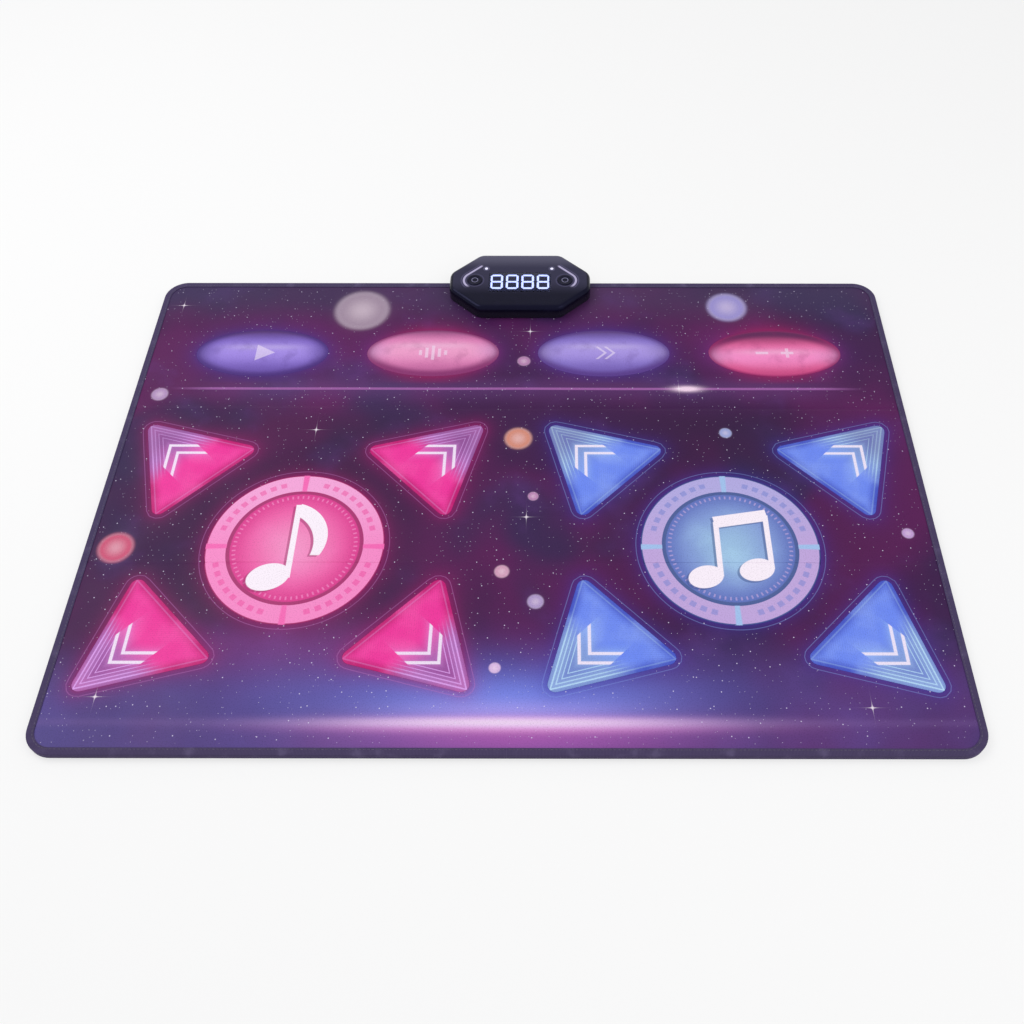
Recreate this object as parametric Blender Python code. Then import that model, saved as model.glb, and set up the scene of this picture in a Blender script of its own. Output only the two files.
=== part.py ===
"""A two-player electronic dance mat, built as it comes apart on a bench.

The mat is a stack of sheets, foams and contact films, cut into three panels at its two fold creases.
Step pads travel down into it, and a control box grips the middle of its back edge.
Run it with: blender --background --python part.py
Metres, +Z up, +X to the right, +Y to the back. The origin is under the middle of the whole thing.
"""

import math
from functools import partial

import bmesh
import bpy
from mathutils import Matrix, Vector

MM = 0.001

# Clearances: GAP is left between pieces that touch, RUN round pieces that travel,
# and BITE is how far a block that is joined to another reaches into it
GAP = 0.3 * MM
RUN = 0.4 * MM
BITE = 0.5 * MM

# Layers of the mat, from the floor up
BASE_SHEET_T = 1.5 * MM
BASE_SHEET_STEP = 0.9 * MM
BASE_FOAM_T = 3.0 * MM
FILM_T = 0.4 * MM
SPACER_T = 2.4 * MM
TOP_SHEET_T = 1.0 * MM

# Edge binding: a folded tape with a top lip, a side wall and a bottom lip
BINDING_T = 0.8 * MM
BINDING_WALL = 0.9 * MM
BINDING_TOP_LIP = 11.0 * MM
BINDING_BOTTOM_LIP = 12.0 * MM
BINDING_ROUND = 1.0 * MM
CORNER_RADIUS = 38.0 * MM
FILM_INSET = 20.0 * MM

# Step pads
ARROW_SIDE = 205.0 * MM
ARROW_ROUND = 10.0 * MM
ARROW_DX = 198.0 * MM
ARROW_DY = 163.0 * MM
ROUND_RADIUS = 136.0 * MM
MENU_HALF_LENGTH = 116.0 * MM
MENU_HALF_DEPTH = 56.0 * MM
MENU_COUNT = 4
CONTACT_RADIUS = 9.0 * MM
CONTACT_T = 0.7 * MM

# Spaces between the pads, the creases and the edges
PLAYER_GAP = 98.6 * MM
SIDE_MARGIN = 37.3 * MM
FRONT_MARGIN = 88.0 * MM
MENU_END_MARGIN = 86.0 * MM
MENU_BACK_MARGIN = 30.0 * MM
MENU_FRONT_MARGIN = 73.0 * MM
ARROW_CREASE_GAP = 20.3 * MM
CREASE_CLEARANCE = 31.6 * MM
CREASE_GAP = 0.4 * MM
CREASE_SETBACK = 4.0 * MM
CREASE_AXIS_OFFSET = 0.5 * MM

# Control box: an octagonal cap over a smaller plinth
BOX_DEPTH = 144.0 * MM
BOX_OVERHANG = 52.0 * MM
BOX_CHAMFER_X = 54.0 * MM
BOX_CHAMFER_Y = 50.0 * MM
BOX_CORNER_RADIUS = 22.0 * MM
BOX_CORNER_LEAST = 2.0 * MM
BOX_WALL = 2.5 * MM
BOX_BEVEL_IN = 8.0 * MM
BOX_BEVEL_DOWN = 9.0 * MM
PLINTH_INSET = 8.0 * MM
PLINTH_WALL = 2.0 * MM
PLINTH_FLOOR = 2.0 * MM
PLINTH_RIM = 3.0 * MM
PLINTH_EDGE = 1.0 * MM
FLANGE_T = 2.0 * MM
FOOT_HEIGHT = 1.2 * MM
FOOT_RADIUS = 5.0 * MM

# Window, display and keys on top of the box
WINDOW_LENGTH = 112.0 * MM
WINDOW_DEPTH = 50.0 * MM
WINDOW_T = 1.5 * MM
WINDOW_LEDGE = 3.0 * MM
WINDOW_ROUND = 5.0 * MM
WINDOW_FORWARD = 5.0 * MM
DISPLAY_LENGTH = 104.0 * MM
DISPLAY_DEPTH = 40.0 * MM
DISPLAY_HEIGHT = 11.8 * MM
KEY_RADIUS = 13.5 * MM
KEY_FLANGE = 1.5 * MM
KEY_PROUD = 1.2 * MM
KEY_CROWN = 1.0 * MM
KEY_STEM_RADIUS = 4.0 * MM
KEY_TRAVEL = 0.8 * MM
KEY_WINDOW_GAP = 12.5 * MM
KEY_SIDE_MARGIN = 32.5 * MM
TACT_SIZE = 12.0 * MM
TACT_HEIGHT = 3.4 * MM
TACT_PLUNGER = 3.0 * MM
TACT_PLUNGER_RISE = 0.9 * MM

# AA cells, and the fibre cards that hold their springs and plates
CELL_COUNT = 4
CELL_RADIUS = 7.05 * MM
CELL_BODY = 49.2 * MM
CELL_EDGE = 0.6 * MM
CELL_NUB = 1.3 * MM
CELL_NUB_RADIUS = 2.7 * MM
CELL_PITCH = 14.8 * MM
CARD_T = 0.8 * MM
PLATE_T = 0.5 * MM
PLATE_SIZE = 9.0 * MM
SPRING_LENGTH = 2.6 * MM
SPRING_RADIUS = 4.0 * MM
SPRING_WIRE = 0.7 * MM
SPRING_TURNS = 2
SPRING_TURN_STEPS = 10

# Battery bay and its sliding door
BAY_START = 8.5 * MM
BAY_WALL = 2.0 * MM
BAY_CLEARANCE = 1.8 * MM
BAY_ROOF = 1.3 * MM
DOOR_T = 1.7 * MM
DOOR_TONGUE = 1.5 * MM
DOOR_TONGUE_T = 0.7 * MM
RAIL_WIDTH = 3.0 * MM
RAIL_ROOF = 2.0 * MM
GRIP_GROOVES = 5
GRIP_PITCH = 2.4 * MM
GRIP_LENGTH = 20.0 * MM
GRIP_DEPTH = 0.4 * MM

# Circuit board, its posts and the parts soldered to it
BOARD_T = 1.6 * MM
BOARD_FRONT = 34.0 * MM
BOARD_BACK = 36.0 * MM
BOARD_EDGE_GAP = 5.0 * MM
BOARD_KEY_MARGIN = 9.0 * MM
BOARD_WING = 20.0 * MM
POST_RADIUS = 2.5 * MM
POST_CLEARANCE = 2.0 * MM
POST_SPREAD = 22.0 * MM
SWITCH_LENGTH = 12.0 * MM
SWITCH_DEPTH = 7.4 * MM
SWITCH_HEIGHT = 6.0 * MM
SWITCH_X = -30.0 * MM
SWITCH_TRAVEL = 4.0 * MM
KNOB_LENGTH = 4.0 * MM
KNOB_HEIGHT = 3.0 * MM
KNOB_RECESS = 0.5 * MM
CONNECTOR_DEPTH = 5.0 * MM
CONNECTOR_HEIGHT = 4.0 * MM

# Speaker over its slots in the floor
SPEAKER_RADIUS = 25.0 * MM
SPEAKER_RIM = 2.0 * MM
SPEAKER_SURROUND = 2.2 * MM
SPEAKER_DUST_CAP = 6.0 * MM
SPEAKER_MAGNET_RADIUS = 14.0 * MM
SPEAKER_MAGNET_T = 6.0 * MM
SPEAKER_HEIGHT = 14.2 * MM
SPEAKER_BAY_GAP = 13.0 * MM
GRILLE_SLOTS = 7
GRILLE_PITCH = 5.6 * MM
GRILLE_SLOT = 2.6 * MM
GRILLE_MARGIN = 3.8 * MM

# Film tail, its clamp bar and the ribbon up to the board
TAIL_WIDTH = 56.0 * MM
TAIL_REACH = 14.0 * MM
TAIL_SEAT_MARGIN = 4.0 * MM
CLAMP_DEPTH = 7.0 * MM
CLAMP_T = 3.7 * MM
CLAMP_RIB = 2.0 * MM
RIBBON_WIDTH = 20.0 * MM
RIBBON_T = 0.5 * MM
RIBBON_X = -16.0 * MM
RIBBON_STRAIGHT = 2.0 * MM

# Case screws
BOSS_RADIUS = 5.0 * MM
TOP_BOSS_RADIUS = 4.0 * MM
SCREW_RADIUS = 1.4 * MM
SCREW_HEAD_RADIUS = 2.9 * MM
SCREW_HEAD_T = 1.9 * MM
SCREW_HEAD_EDGE = 0.4 * MM
SCREW_HOLE = 0.35 * MM
SCREW_BITE = 7.0 * MM
SCREW_TIP = 1.0 * MM

# Roundness, in steps for an arc, a corner of the mat, a disc and a small round thing
ARC_STEPS = 3
CORNER_STEPS = 5
CIRCLE_STEPS = 40
ELLIPSE_STEPS = 32
SMALL_STEPS = 12
SMOOTH_ANGLE = math.radians(40)

# Heights of the mat's layers
BASE_FOAM_Z = BASE_SHEET_T + GAP
LOWER_FILM_Z = BASE_FOAM_Z + BASE_FOAM_T + GAP
LOWER_FILM_TOP = LOWER_FILM_Z + FILM_T
SPACER_Z = LOWER_FILM_TOP + GAP
UPPER_FILM_Z = SPACER_Z + SPACER_T + GAP
TOP_SHEET_Z = UPPER_FILM_Z + FILM_T + GAP
TOP_SHEET_TOP = TOP_SHEET_Z + TOP_SHEET_T
LIP_Z = TOP_SHEET_TOP + GAP
MAT_TOP = LIP_Z + BINDING_T
EDGE_INSET = BINDING_WALL + GAP

# Plan of the mat, measured forwards from its back edge
ARROW_REACH = ARROW_SIDE / math.sqrt(3)
ARROW_TIP = ARROW_REACH * math.cos(math.radians(45))
ARROW_HEEL = ARROW_REACH * math.sin(math.radians(75))
PLAYER_X = PLAYER_GAP / 2 + ARROW_DX + ARROW_TIP
MAT_WIDTH = 2 * (PLAYER_X + ARROW_DX + ARROW_TIP + SIDE_MARGIN)
MENU_LINE = BOX_DEPTH - BOX_OVERHANG + MENU_BACK_MARGIN + MENU_HALF_DEPTH
MENU_PITCH = (MAT_WIDTH - 2 * MENU_END_MARGIN - 2 * MENU_HALF_LENGTH) / (MENU_COUNT - 1)
REAR_CREASE = MENU_LINE + MENU_HALF_DEPTH + MENU_FRONT_MARGIN
PLAYER_LINE = REAR_CREASE + CREASE_CLEARANCE + ARROW_DY + ARROW_TIP
FRONT_CREASE = PLAYER_LINE + ARROW_DY - ARROW_HEEL - ARROW_CREASE_GAP
MAT_DEPTH = PLAYER_LINE + ARROW_DY + ARROW_TIP + FRONT_MARGIN

# The same lines from the origin, under the middle of the mat and its box together
BACK_Y = (MAT_DEPTH - BOX_OVERHANG) / 2
FRONT_Y = BACK_Y - MAT_DEPTH
MENU_Y = BACK_Y - MENU_LINE
REAR_CREASE_Y = BACK_Y - REAR_CREASE
PLAYER_Y = BACK_Y - PLAYER_LINE
FRONT_CREASE_Y = BACK_Y - FRONT_CREASE
HALF_WIDTH = MAT_WIDTH / 2
PANEL_AXES = {
    "rear": Vector((0.0, 0.0, 0.0)),
    "middle": Vector((0.0, REAR_CREASE_Y, -CREASE_AXIS_OFFSET)),
    "front": Vector((0.0, FRONT_CREASE_Y, MAT_TOP + CREASE_AXIS_OFFSET)),
}

# Plan of the control box
BOX_Y = BACK_Y + BOX_OVERHANG - BOX_DEPTH / 2
BOX_BACK_Y = BOX_Y + BOX_DEPTH / 2
PLINTH_FRONT_Y = BOX_Y - BOX_DEPTH / 2 + PLINTH_INSET
PLINTH_BACK_Y = BOX_BACK_Y - PLINTH_INSET
KEY_X = WINDOW_LENGTH / 2 + KEY_WINDOW_GAP + KEY_RADIUS
BOX_WIDTH = 2 * (KEY_X + KEY_RADIUS + KEY_SIDE_MARGIN)
WINDOW_Y = BOX_Y - WINDOW_FORWARD
BAY_LENGTH = CELL_BODY + CELL_NUB + SPRING_LENGTH + 2 * (CARD_T + PLATE_T) + 4 * GAP
BAY_END = BAY_START + BAY_LENGTH
BAY_HALF = (CELL_COUNT * CELL_PITCH + BAY_CLEARANCE) / 2
RAIL_END = BAY_END + BAY_WALL + RAIL_WIDTH
POST_X = RAIL_END + POST_RADIUS + POST_CLEARANCE
SPEAKER_X = -(SPEAKER_BAY_GAP + SPEAKER_RADIUS)
BOSS_INSET = PLINTH_INSET + PLINTH_WALL + BOSS_RADIUS + GAP
CLAMP_Y = PLINTH_FRONT_Y + PLINTH_WALL + TAIL_SEAT_MARGIN

# Heights in the control box
PLINTH_Z = FOOT_HEIGHT + GAP
FLOOR_Z = PLINTH_Z + PLINTH_FLOOR
CAP_Z = MAT_TOP + RUN
PLINTH_TOP = CAP_Z + PLINTH_RIM
DOOR_TOP = PLINTH_Z + DOOR_T
DOOR_ROOF = DOOR_TOP + GAP
CELL_Z = DOOR_ROOF + CELL_RADIUS
BAY_TOP = CELL_Z + CELL_RADIUS + GAP
BOARD_Z = BAY_TOP + BAY_ROOF + GAP
BOARD_TOP = BOARD_Z + BOARD_T
DISPLAY_Z = BOARD_TOP + GAP
CEILING_Z = DISPLAY_Z + DISPLAY_HEIGHT + GAP
BOX_TOP = CEILING_Z + BOX_WALL
SCREW_SEAT_Z = PLINTH_Z + 2 * GAP + SCREW_HEAD_T
BOSS_TOP = PLINTH_TOP + GAP
TOP_BOSS_Z = BOSS_TOP + GAP
CLAMP_Z = LOWER_FILM_TOP + GAP
CLAMP_TOP = CLAMP_Z + CLAMP_T
KNOB_Z = BOARD_TOP + SWITCH_HEIGHT / 2

# Each finish: its colour, roughness and metallic value
FINISHES = {
    "printed_vinyl": ((0.055, 0.022, 0.085), 0.42, 0.0),
    "pink_print": ((0.75, 0.045, 0.28), 0.4, 0.0),
    "blue_print": ((0.1, 0.16, 0.62), 0.4, 0.0),
    "lilac_print": ((0.36, 0.25, 0.75), 0.4, 0.0),
    "rose_print": ((0.85, 0.28, 0.48), 0.4, 0.0),
    "binding_tape": ((0.012, 0.01, 0.016), 0.6, 0.0),
    "base_cloth": ((0.015, 0.015, 0.017), 0.85, 0.0),
    "grey_foam": ((0.22, 0.22, 0.23), 0.9, 0.0),
    "clear_film": ((0.55, 0.55, 0.5), 0.25, 0.0),
    "black_case": ((0.012, 0.012, 0.015), 0.3, 0.0),
    "smoked_window": ((0.01, 0.015, 0.03), 0.08, 0.0),
    "key_plastic": ((0.03, 0.03, 0.038), 0.3, 0.0),
    "board_green": ((0.01, 0.12, 0.05), 0.5, 0.0),
    "display_black": ((0.02, 0.02, 0.02), 0.5, 0.0),
    "white_plastic": ((0.7, 0.7, 0.68), 0.45, 0.0),
    "bright_metal": ((0.6, 0.6, 0.58), 0.3, 1.0),
    "speaker_paper": ((0.04, 0.04, 0.045), 0.9, 0.0),
    "cell_jacket": ((0.05, 0.12, 0.3), 0.35, 0.0),
}


def material(name):
    """The named finish, made the first time that it is asked for."""
    if name in bpy.data.materials:
        return bpy.data.materials[name]
    colour, roughness, metallic = FINISHES[name]
    made = bpy.data.materials.new(name)
    made.use_nodes = True
    shader = made.node_tree.nodes["Principled BSDF"]
    shader.inputs["Base Color"].default_value = (*colour, 1.0)
    shader.inputs["Roughness"].default_value = roughness
    shader.inputs["Metallic"].default_value = metallic
    made.diffuse_color = (*colour, 1.0)
    return made


def finish(name, mesh, finish_name, smooth=False):
    """A named object from a bmesh, with its faces turned outwards."""
    bmesh.ops.recalc_face_normals(mesh, faces=mesh.faces)
    data = bpy.data.meshes.new(name)
    mesh.to_mesh(data)
    mesh.free()
    if smooth:
        data.shade_smooth()
        data.set_sharp_from_angle(angle=SMOOTH_ANGLE)
    made = bpy.data.objects.new(name, data)
    bpy.context.scene.collection.objects.link(made)
    data.materials.append(material(finish_name))
    return made


def helper(name, mesh):
    """A cutter or an added block: a wire shape that isn't a piece by itself."""
    made = finish(name, mesh, "white_plastic")
    made.hide_render = True
    made.display_type = "WIRE"
    return made


def combine(target, other, operation):
    """A live Boolean of a piece with a helper."""
    modifier = target.modifiers.new(other.name, "BOOLEAN")
    modifier.operation = operation
    modifier.object = other
    modifier.solver = "EXACT"


def carry(piece, panel, origin):
    """Gives a piece its own origin, and hangs it on the hinge of the panel that carries it."""
    piece.data.transform(Matrix.Translation(-Vector(origin)))
    piece.location = Vector(origin) - PANEL_AXES[panel]
    if panel != "rear":
        piece.parent = bpy.data.objects[f"{panel}_panel_hinge"]


def build_hinges():
    """Empties on the two fold lines. The front panel's hinge rides on the middle panel."""
    for panel, carrier in (("middle", "rear"), ("front", "middle")):
        hinge = bpy.data.objects.new(f"{panel}_panel_hinge", None)
        bpy.context.scene.collection.objects.link(hinge)
        hinge.location = PANEL_AXES[panel] - PANEL_AXES[carrier]
        if carrier != "rear":
            hinge.parent = bpy.data.objects[f"{carrier}_panel_hinge"]


def add_rings(mesh, rings):
    """Skins a list of equal rings of points into the mesh, with a flat cap on each end."""
    rows = [[mesh.verts.new(point) for point in ring] for ring in rings]
    count = len(rows[0])
    for low, high in zip(rows, rows[1:]):
        for i in range(count):
            j = (i + 1) % count
            mesh.faces.new((low[i], low[j], high[j], high[i]))
    mesh.faces.new(rows[0][::-1])
    mesh.faces.new(rows[-1])


def lifted(outline, z):
    """A flat outline raised to height z."""
    return [(x, y, z) for x, y in outline]


def add_prism(mesh, outline, low, high):
    """An upright prism over a flat outline."""
    add_rings(mesh, [lifted(outline, low), lifted(outline, high)])


def rectangle(x0, x1, y0, y1):
    """The corners of a rectangle, anticlockwise."""
    return [(x0, y0), (x1, y0), (x1, y1), (x0, y1)]


def add_box(mesh, x_range, y_range, z_range):
    """A square-edged block."""
    add_prism(mesh, rectangle(*x_range, *y_range), *z_range)


def span(centre, length):
    """The two ends of a length about its centre."""
    return centre - length / 2, centre + length / 2


def circle(centre, radius, steps=CIRCLE_STEPS):
    """Points round a circle, anticlockwise."""
    return ellipse(centre, radius, radius, steps)


def ellipse(centre, half_length, half_depth, steps=ELLIPSE_STEPS):
    """Points round an ellipse, anticlockwise."""
    turns = [2 * math.pi * i / steps for i in range(steps)]
    x, y = centre
    return [(x + half_length * math.cos(a), y + half_depth * math.sin(a)) for a in turns]


def add_turned(mesh, profile, centre, steps=SMALL_STEPS):
    """An upright turned solid. Its profile lists (radius, height) from one end to the other."""
    add_rings(mesh, [lifted(circle(centre, radius, steps), z) for radius, z in profile])


def rounded(corners, radius, steps=ARC_STEPS):
    """A convex anticlockwise outline with each corner turned to an arc."""
    made = []
    count = len(corners)
    for i, corner in enumerate(corners):
        here = Vector(corner)
        back = (Vector(corners[i - 1]) - here).normalized()
        ahead = (Vector(corners[(i + 1) % count]) - here).normalized()
        half = back.angle(ahead) / 2
        middle = here + (back + ahead).normalized() * (radius / math.sin(half))
        start = here + back * (radius / math.tan(half)) - middle
        sweep = math.pi - 2 * half
        for k in range(steps + 1):
            point = middle + Matrix.Rotation(sweep * k / steps, 2) @ start
            made.append((point.x, point.y))
    return made


def box_outline(inset):
    """The control box's long octagon, moved inwards by inset all round."""
    a, b = BOX_WIDTH / 2 - inset, BOX_DEPTH / 2 - inset
    side_y, end_x = slant_y(a, inset), slant_x(b, inset)
    right = [(a, -side_y), (a, side_y), (end_x, b)]
    left = [(-end_x, b), (-a, side_y), (-a, -side_y), (-end_x, -b), (end_x, -b)]
    corners = [(x, BOX_Y + y) for x, y in right + left]
    return rounded(corners, max(BOX_CORNER_RADIUS - inset, BOX_CORNER_LEAST))


def slant_reach(inset):
    """Right side of x * cy + y * cx = reach, the line of the box's slanted side moved inwards."""
    cx, cy = BOX_CHAMFER_X, BOX_CHAMFER_Y
    return BOX_WIDTH / 2 * cy + (BOX_DEPTH / 2 - cy) * cx - inset * math.hypot(cx, cy)


def slant_y(x, inset):
    """How far from the box's middle line its inset slanted side lies, at x."""
    return (slant_reach(inset) - x * BOX_CHAMFER_Y) / BOX_CHAMFER_X


def slant_x(y, inset):
    """The same, across: x on the inset slanted side at a distance y from the middle line."""
    return (slant_reach(inset) - y * BOX_CHAMFER_X) / BOX_CHAMFER_Y


def four_ways(x, y):
    """The same place in the box's four quarters."""
    return [(sx * x, BOX_Y + sy * y) for sx in (-1, 1) for sy in (-1, 1)]


def screw_places():
    """A case screw stands inside the middle of each slanted side."""
    length = math.hypot(BOX_CHAMFER_X, BOX_CHAMFER_Y)
    x = (BOX_WIDTH - BOX_CHAMFER_X) / 2 - BOSS_INSET * BOX_CHAMFER_Y / length
    return four_ways(x, slant_y(x, BOSS_INSET))


def foot_places():
    """A foot stands outside each end of the door rails, inside the plinth's slanted sides."""
    inset = PLINTH_INSET + FOOT_RADIUS + PLINTH_EDGE
    x = RAIL_END + FOOT_RADIUS
    return four_ways(x, min(slant_y(x, inset), BOX_DEPTH / 2 - inset))


def window_outline(outset):
    """The display window's rounded outline, moved outwards by outset."""
    x_range = span(0.0, WINDOW_LENGTH + 2 * outset)
    y_range = span(WINDOW_Y, WINDOW_DEPTH + 2 * outset)
    return rounded(rectangle(*x_range, *y_range), WINDOW_ROUND + outset)


def corner_arc(x, y, start, inset):
    """A quarter turn round one of the mat's corners, inset from its edge."""
    radius = CORNER_RADIUS - inset
    turns = [math.radians(start + 90 * k / CORNER_STEPS) for k in range(CORNER_STEPS + 1)]
    return [(x + radius * math.cos(a), y + radius * math.sin(a)) for a in turns]


def edge_runs(panel, inset):
    """The mat's edge along one panel, inset, as open runs of points that go anticlockwise."""
    x = HALF_WIDTH - inset
    corner_x = HALF_WIDTH - CORNER_RADIUS
    half_gap = CREASE_GAP / 2
    if panel == "rear":
        low, y = REAR_CREASE_Y + half_gap, BACK_Y - CORNER_RADIUS
        corners = corner_arc(corner_x, y, 0, inset) + corner_arc(-corner_x, y, 90, inset)
        return {"": [(x, low)] + corners + [(-x, low)]}
    if panel == "front":
        high, y = FRONT_CREASE_Y - half_gap, FRONT_Y + CORNER_RADIUS
        corners = corner_arc(-corner_x, y, 180, inset) + corner_arc(corner_x, y, 270, inset)
        return {"": [(-x, high)] + corners + [(x, high)]}
    low, high = FRONT_CREASE_Y + half_gap, REAR_CREASE_Y - half_gap
    return {"_right": [(x, low), (x, high)], "_left": [(-x, high), (-x, low)]}


def panel_outline(panel, inset, setback=0.0):
    """One panel's outline, inset from the mat's edge and held back from its creases."""
    points = [point for run in edge_runs(panel, inset).values() for point in run]
    ends = {"rear": (REAR_CREASE_Y, 1), "front": (FRONT_CREASE_Y, -1)}
    if panel == "middle":
        middle = (REAR_CREASE_Y + FRONT_CREASE_Y) / 2
        return [(x, y + setback * (1 if y < middle else -1)) for x, y in points]
    crease, away = ends[panel]
    return [(x, y + setback * away * (abs(y - crease) < CREASE_GAP)) for x, y in points]


def arrow(centre, heading, inset):
    """A round-cornered equal-sided triangle whose tip points along heading, in degrees."""
    reach = ARROW_REACH - 2 * inset
    turns = [math.radians(heading + 120 * k) for k in range(3)]
    corners = [(centre[0] + reach * math.cos(a), centre[1] + reach * math.sin(a)) for a in turns]
    return rounded(corners, ARROW_ROUND - inset)


def part_disc(centre, cut, front, inset):
    """The part of a round pad in front of the line y = cut, or behind it."""
    radius = ROUND_RADIUS - inset
    lean = math.asin((cut - centre[1]) / radius)
    start, end = (math.pi - lean, 2 * math.pi + lean) if front else (lean, math.pi - lean)
    steps = CIRCLE_STEPS // 2
    turns = [start + (end - start) * i / steps for i in range(steps + 1)]
    return [(centre[0] + radius * math.cos(a), centre[1] + radius * math.sin(a)) for a in turns]


def menu_oval(centre, inset):
    """A menu pad's outline."""
    return ellipse(centre, MENU_HALF_LENGTH - inset, MENU_HALF_DEPTH - inset)


def arrow_pads():
    """Four arrow pads for each player, pointing away from the player's round pad."""
    pads = []
    for player, side, print_name in (("left", -1, "pink_print"), ("right", 1, "blue_print")):
        for row, sy, panel in (("back", 1, "middle"), ("front", -1, "front")):
            for column, sx in (("left", -1), ("right", 1)):
                centre = (side * PLAYER_X + sx * ARROW_DX, PLAYER_Y + sy * ARROW_DY)
                heading = math.degrees(math.atan2(sy, sx))
                pads.append({
                    "name": f"{player}_arrow_pad_{row}_{column}", "print": print_name, "panel": panel,
                    "outline": partial(arrow, centre, heading), "spots": [centre],
                })
    return pads


def round_pads():
    """One round pad for each player, in two parts because the front crease crosses it."""
    pads = []
    for player, side, print_name in (("left", -1, "pink_print"), ("right", 1, "blue_print")):
        centre = (side * PLAYER_X, PLAYER_Y)
        for row, sign, panel in (("rear", 1, "middle"), ("front", -1, "front")):
            cut = FRONT_CREASE_Y + sign * CREASE_GAP / 2
            pads.append({
                "name": f"{player}_round_pad_{row}", "print": print_name, "panel": panel,
                "outline": partial(part_disc, centre, cut, sign < 0),
                "spots": [(centre[0], FRONT_CREASE_Y + sign * ROUND_RADIUS / 2)],
            })
    return pads


def menu_pads():
    """A row of oval menu pads along the back."""
    pads = []
    for k in range(MENU_COUNT):
        centre = ((k - (MENU_COUNT - 1) / 2) * MENU_PITCH, MENU_Y)
        pads.append({
            "name": f"menu_pad_{k + 1}", "print": ("lilac_print", "rose_print")[k % 2], "panel": "rear",
            "outline": partial(menu_oval, centre),
            "spots": [(centre[0] + s * MENU_HALF_LENGTH / 2, centre[1]) for s in (-1, 1)],
        })
    return pads


def build_pads():
    """Each pad is its patch of the printed sheet backed by its patch of the upper film."""
    for pad in arrow_pads() + round_pads() + menu_pads():
        mesh = bmesh.new()
        add_prism(mesh, pad["outline"](RUN), UPPER_FILM_Z, TOP_SHEET_TOP)
        piece = finish(pad["name"], mesh, pad["print"])
        carry(piece, pad["panel"], (*pad["spots"][0], TOP_SHEET_TOP))


def pad_openings():
    """One cutter with every pad's opening, for the spacer, the upper film and the top sheet."""
    mesh = bmesh.new()
    heights = (LOWER_FILM_Z, MAT_TOP)
    around = ROUND_RADIUS / math.cos(math.pi / CIRCLE_STEPS)  # its flat sides clear the round pad
    for side in (-1, 1):
        add_prism(mesh, circle((side * PLAYER_X, PLAYER_Y), around), *heights)
    for pad in arrow_pads() + menu_pads():
        add_prism(mesh, pad["outline"](0.0), *heights)
    return helper("pad_openings", mesh)


def plinth_notch(name, low):
    """A cutter round the plinth, from a height up."""
    mesh = bmesh.new()
    add_prism(mesh, box_outline(PLINTH_INSET - RUN), low, 2 * MAT_TOP)
    return helper(name, mesh)


def build_layer(name, panel, inset, setback, low, thickness, finish_name, cutters):
    """One flat layer of one panel, with its openings cut."""
    mesh = bmesh.new()
    add_prism(mesh, panel_outline(panel, inset, setback), low, low + thickness)
    made = finish(f"{name}_{panel}", mesh, finish_name)
    carry(made, panel, PANEL_AXES[panel])
    for cutter in cutters:
        combine(made, cutter, "DIFFERENCE")
    return made


def build_base_sheet(panel, cutters):
    """The anti-slip base sheet: its rim is thinner, and lies on the binding's bottom lip."""
    inner, outer = (BINDING_BOTTOM_LIP + GAP, GAP), (EDGE_INSET, 0.0)
    steps = ((inner, 0.0), (inner, BASE_SHEET_STEP), (outer, BASE_SHEET_STEP), (outer, BASE_SHEET_T))
    mesh = bmesh.new()
    add_rings(mesh, [lifted(panel_outline(panel, *inset), z) for inset, z in steps])
    made = finish(f"base_sheet_{panel}", mesh, "base_cloth")
    carry(made, panel, PANEL_AXES[panel])
    for cutter in cutters:
        combine(made, cutter, "DIFFERENCE")


def build_lower_film(panel, cutters):
    """The lower contact film with a carbon spot under each pad and, at the back, its tail."""
    made = build_layer(
        "lower_film", panel, FILM_INSET, CREASE_SETBACK, LOWER_FILM_Z, FILM_T, "clear_film", cutters
    )
    mesh = bmesh.new()
    for pad in arrow_pads() + round_pads() + menu_pads():
        if pad["panel"] == panel:
            for spot in pad["spots"]:
                disc = circle(spot, CONTACT_RADIUS, SMALL_STEPS)
                add_prism(mesh, disc, LOWER_FILM_TOP - FILM_T / 2, LOWER_FILM_TOP + CONTACT_T)
    combine(made, helper(f"contact_spots_{panel}", mesh), "UNION")
    if panel == "rear":
        mesh = bmesh.new()
        y_range = (PLINTH_FRONT_Y - TAIL_REACH, PLINTH_FRONT_Y + TAIL_REACH)
        add_box(mesh, span(0.0, TAIL_WIDTH), y_range, (LOWER_FILM_Z, LOWER_FILM_TOP))
        combine(made, helper("film_tail", mesh), "UNION")


def build_binding(panel, cutters):
    """The folded edge tape: one section carried along each run of the panel's edge."""
    low_lip = BASE_SHEET_STEP - GAP
    section = [
        (BINDING_ROUND, 0.0), (0.0, BINDING_ROUND), (0.0, MAT_TOP - BINDING_ROUND),
        (BINDING_ROUND, MAT_TOP), (BINDING_TOP_LIP, MAT_TOP), (BINDING_TOP_LIP, LIP_Z),
        (BINDING_WALL, LIP_Z), (BINDING_WALL, low_lip), (BINDING_BOTTOM_LIP, low_lip),
        (BINDING_BOTTOM_LIP, 0.0),
    ]
    for side in edge_runs(panel, 0.0):
        lines = [lifted(edge_runs(panel, inset)[side], z) for inset, z in section]
        mesh = bmesh.new()
        add_rings(mesh, list(zip(*lines)))
        made = finish(f"edge_binding_{panel}{side}", mesh, "binding_tape")
        carry(made, panel, PANEL_AXES[panel])
        for cutter in cutters:
            combine(made, cutter, "DIFFERENCE")


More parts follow.
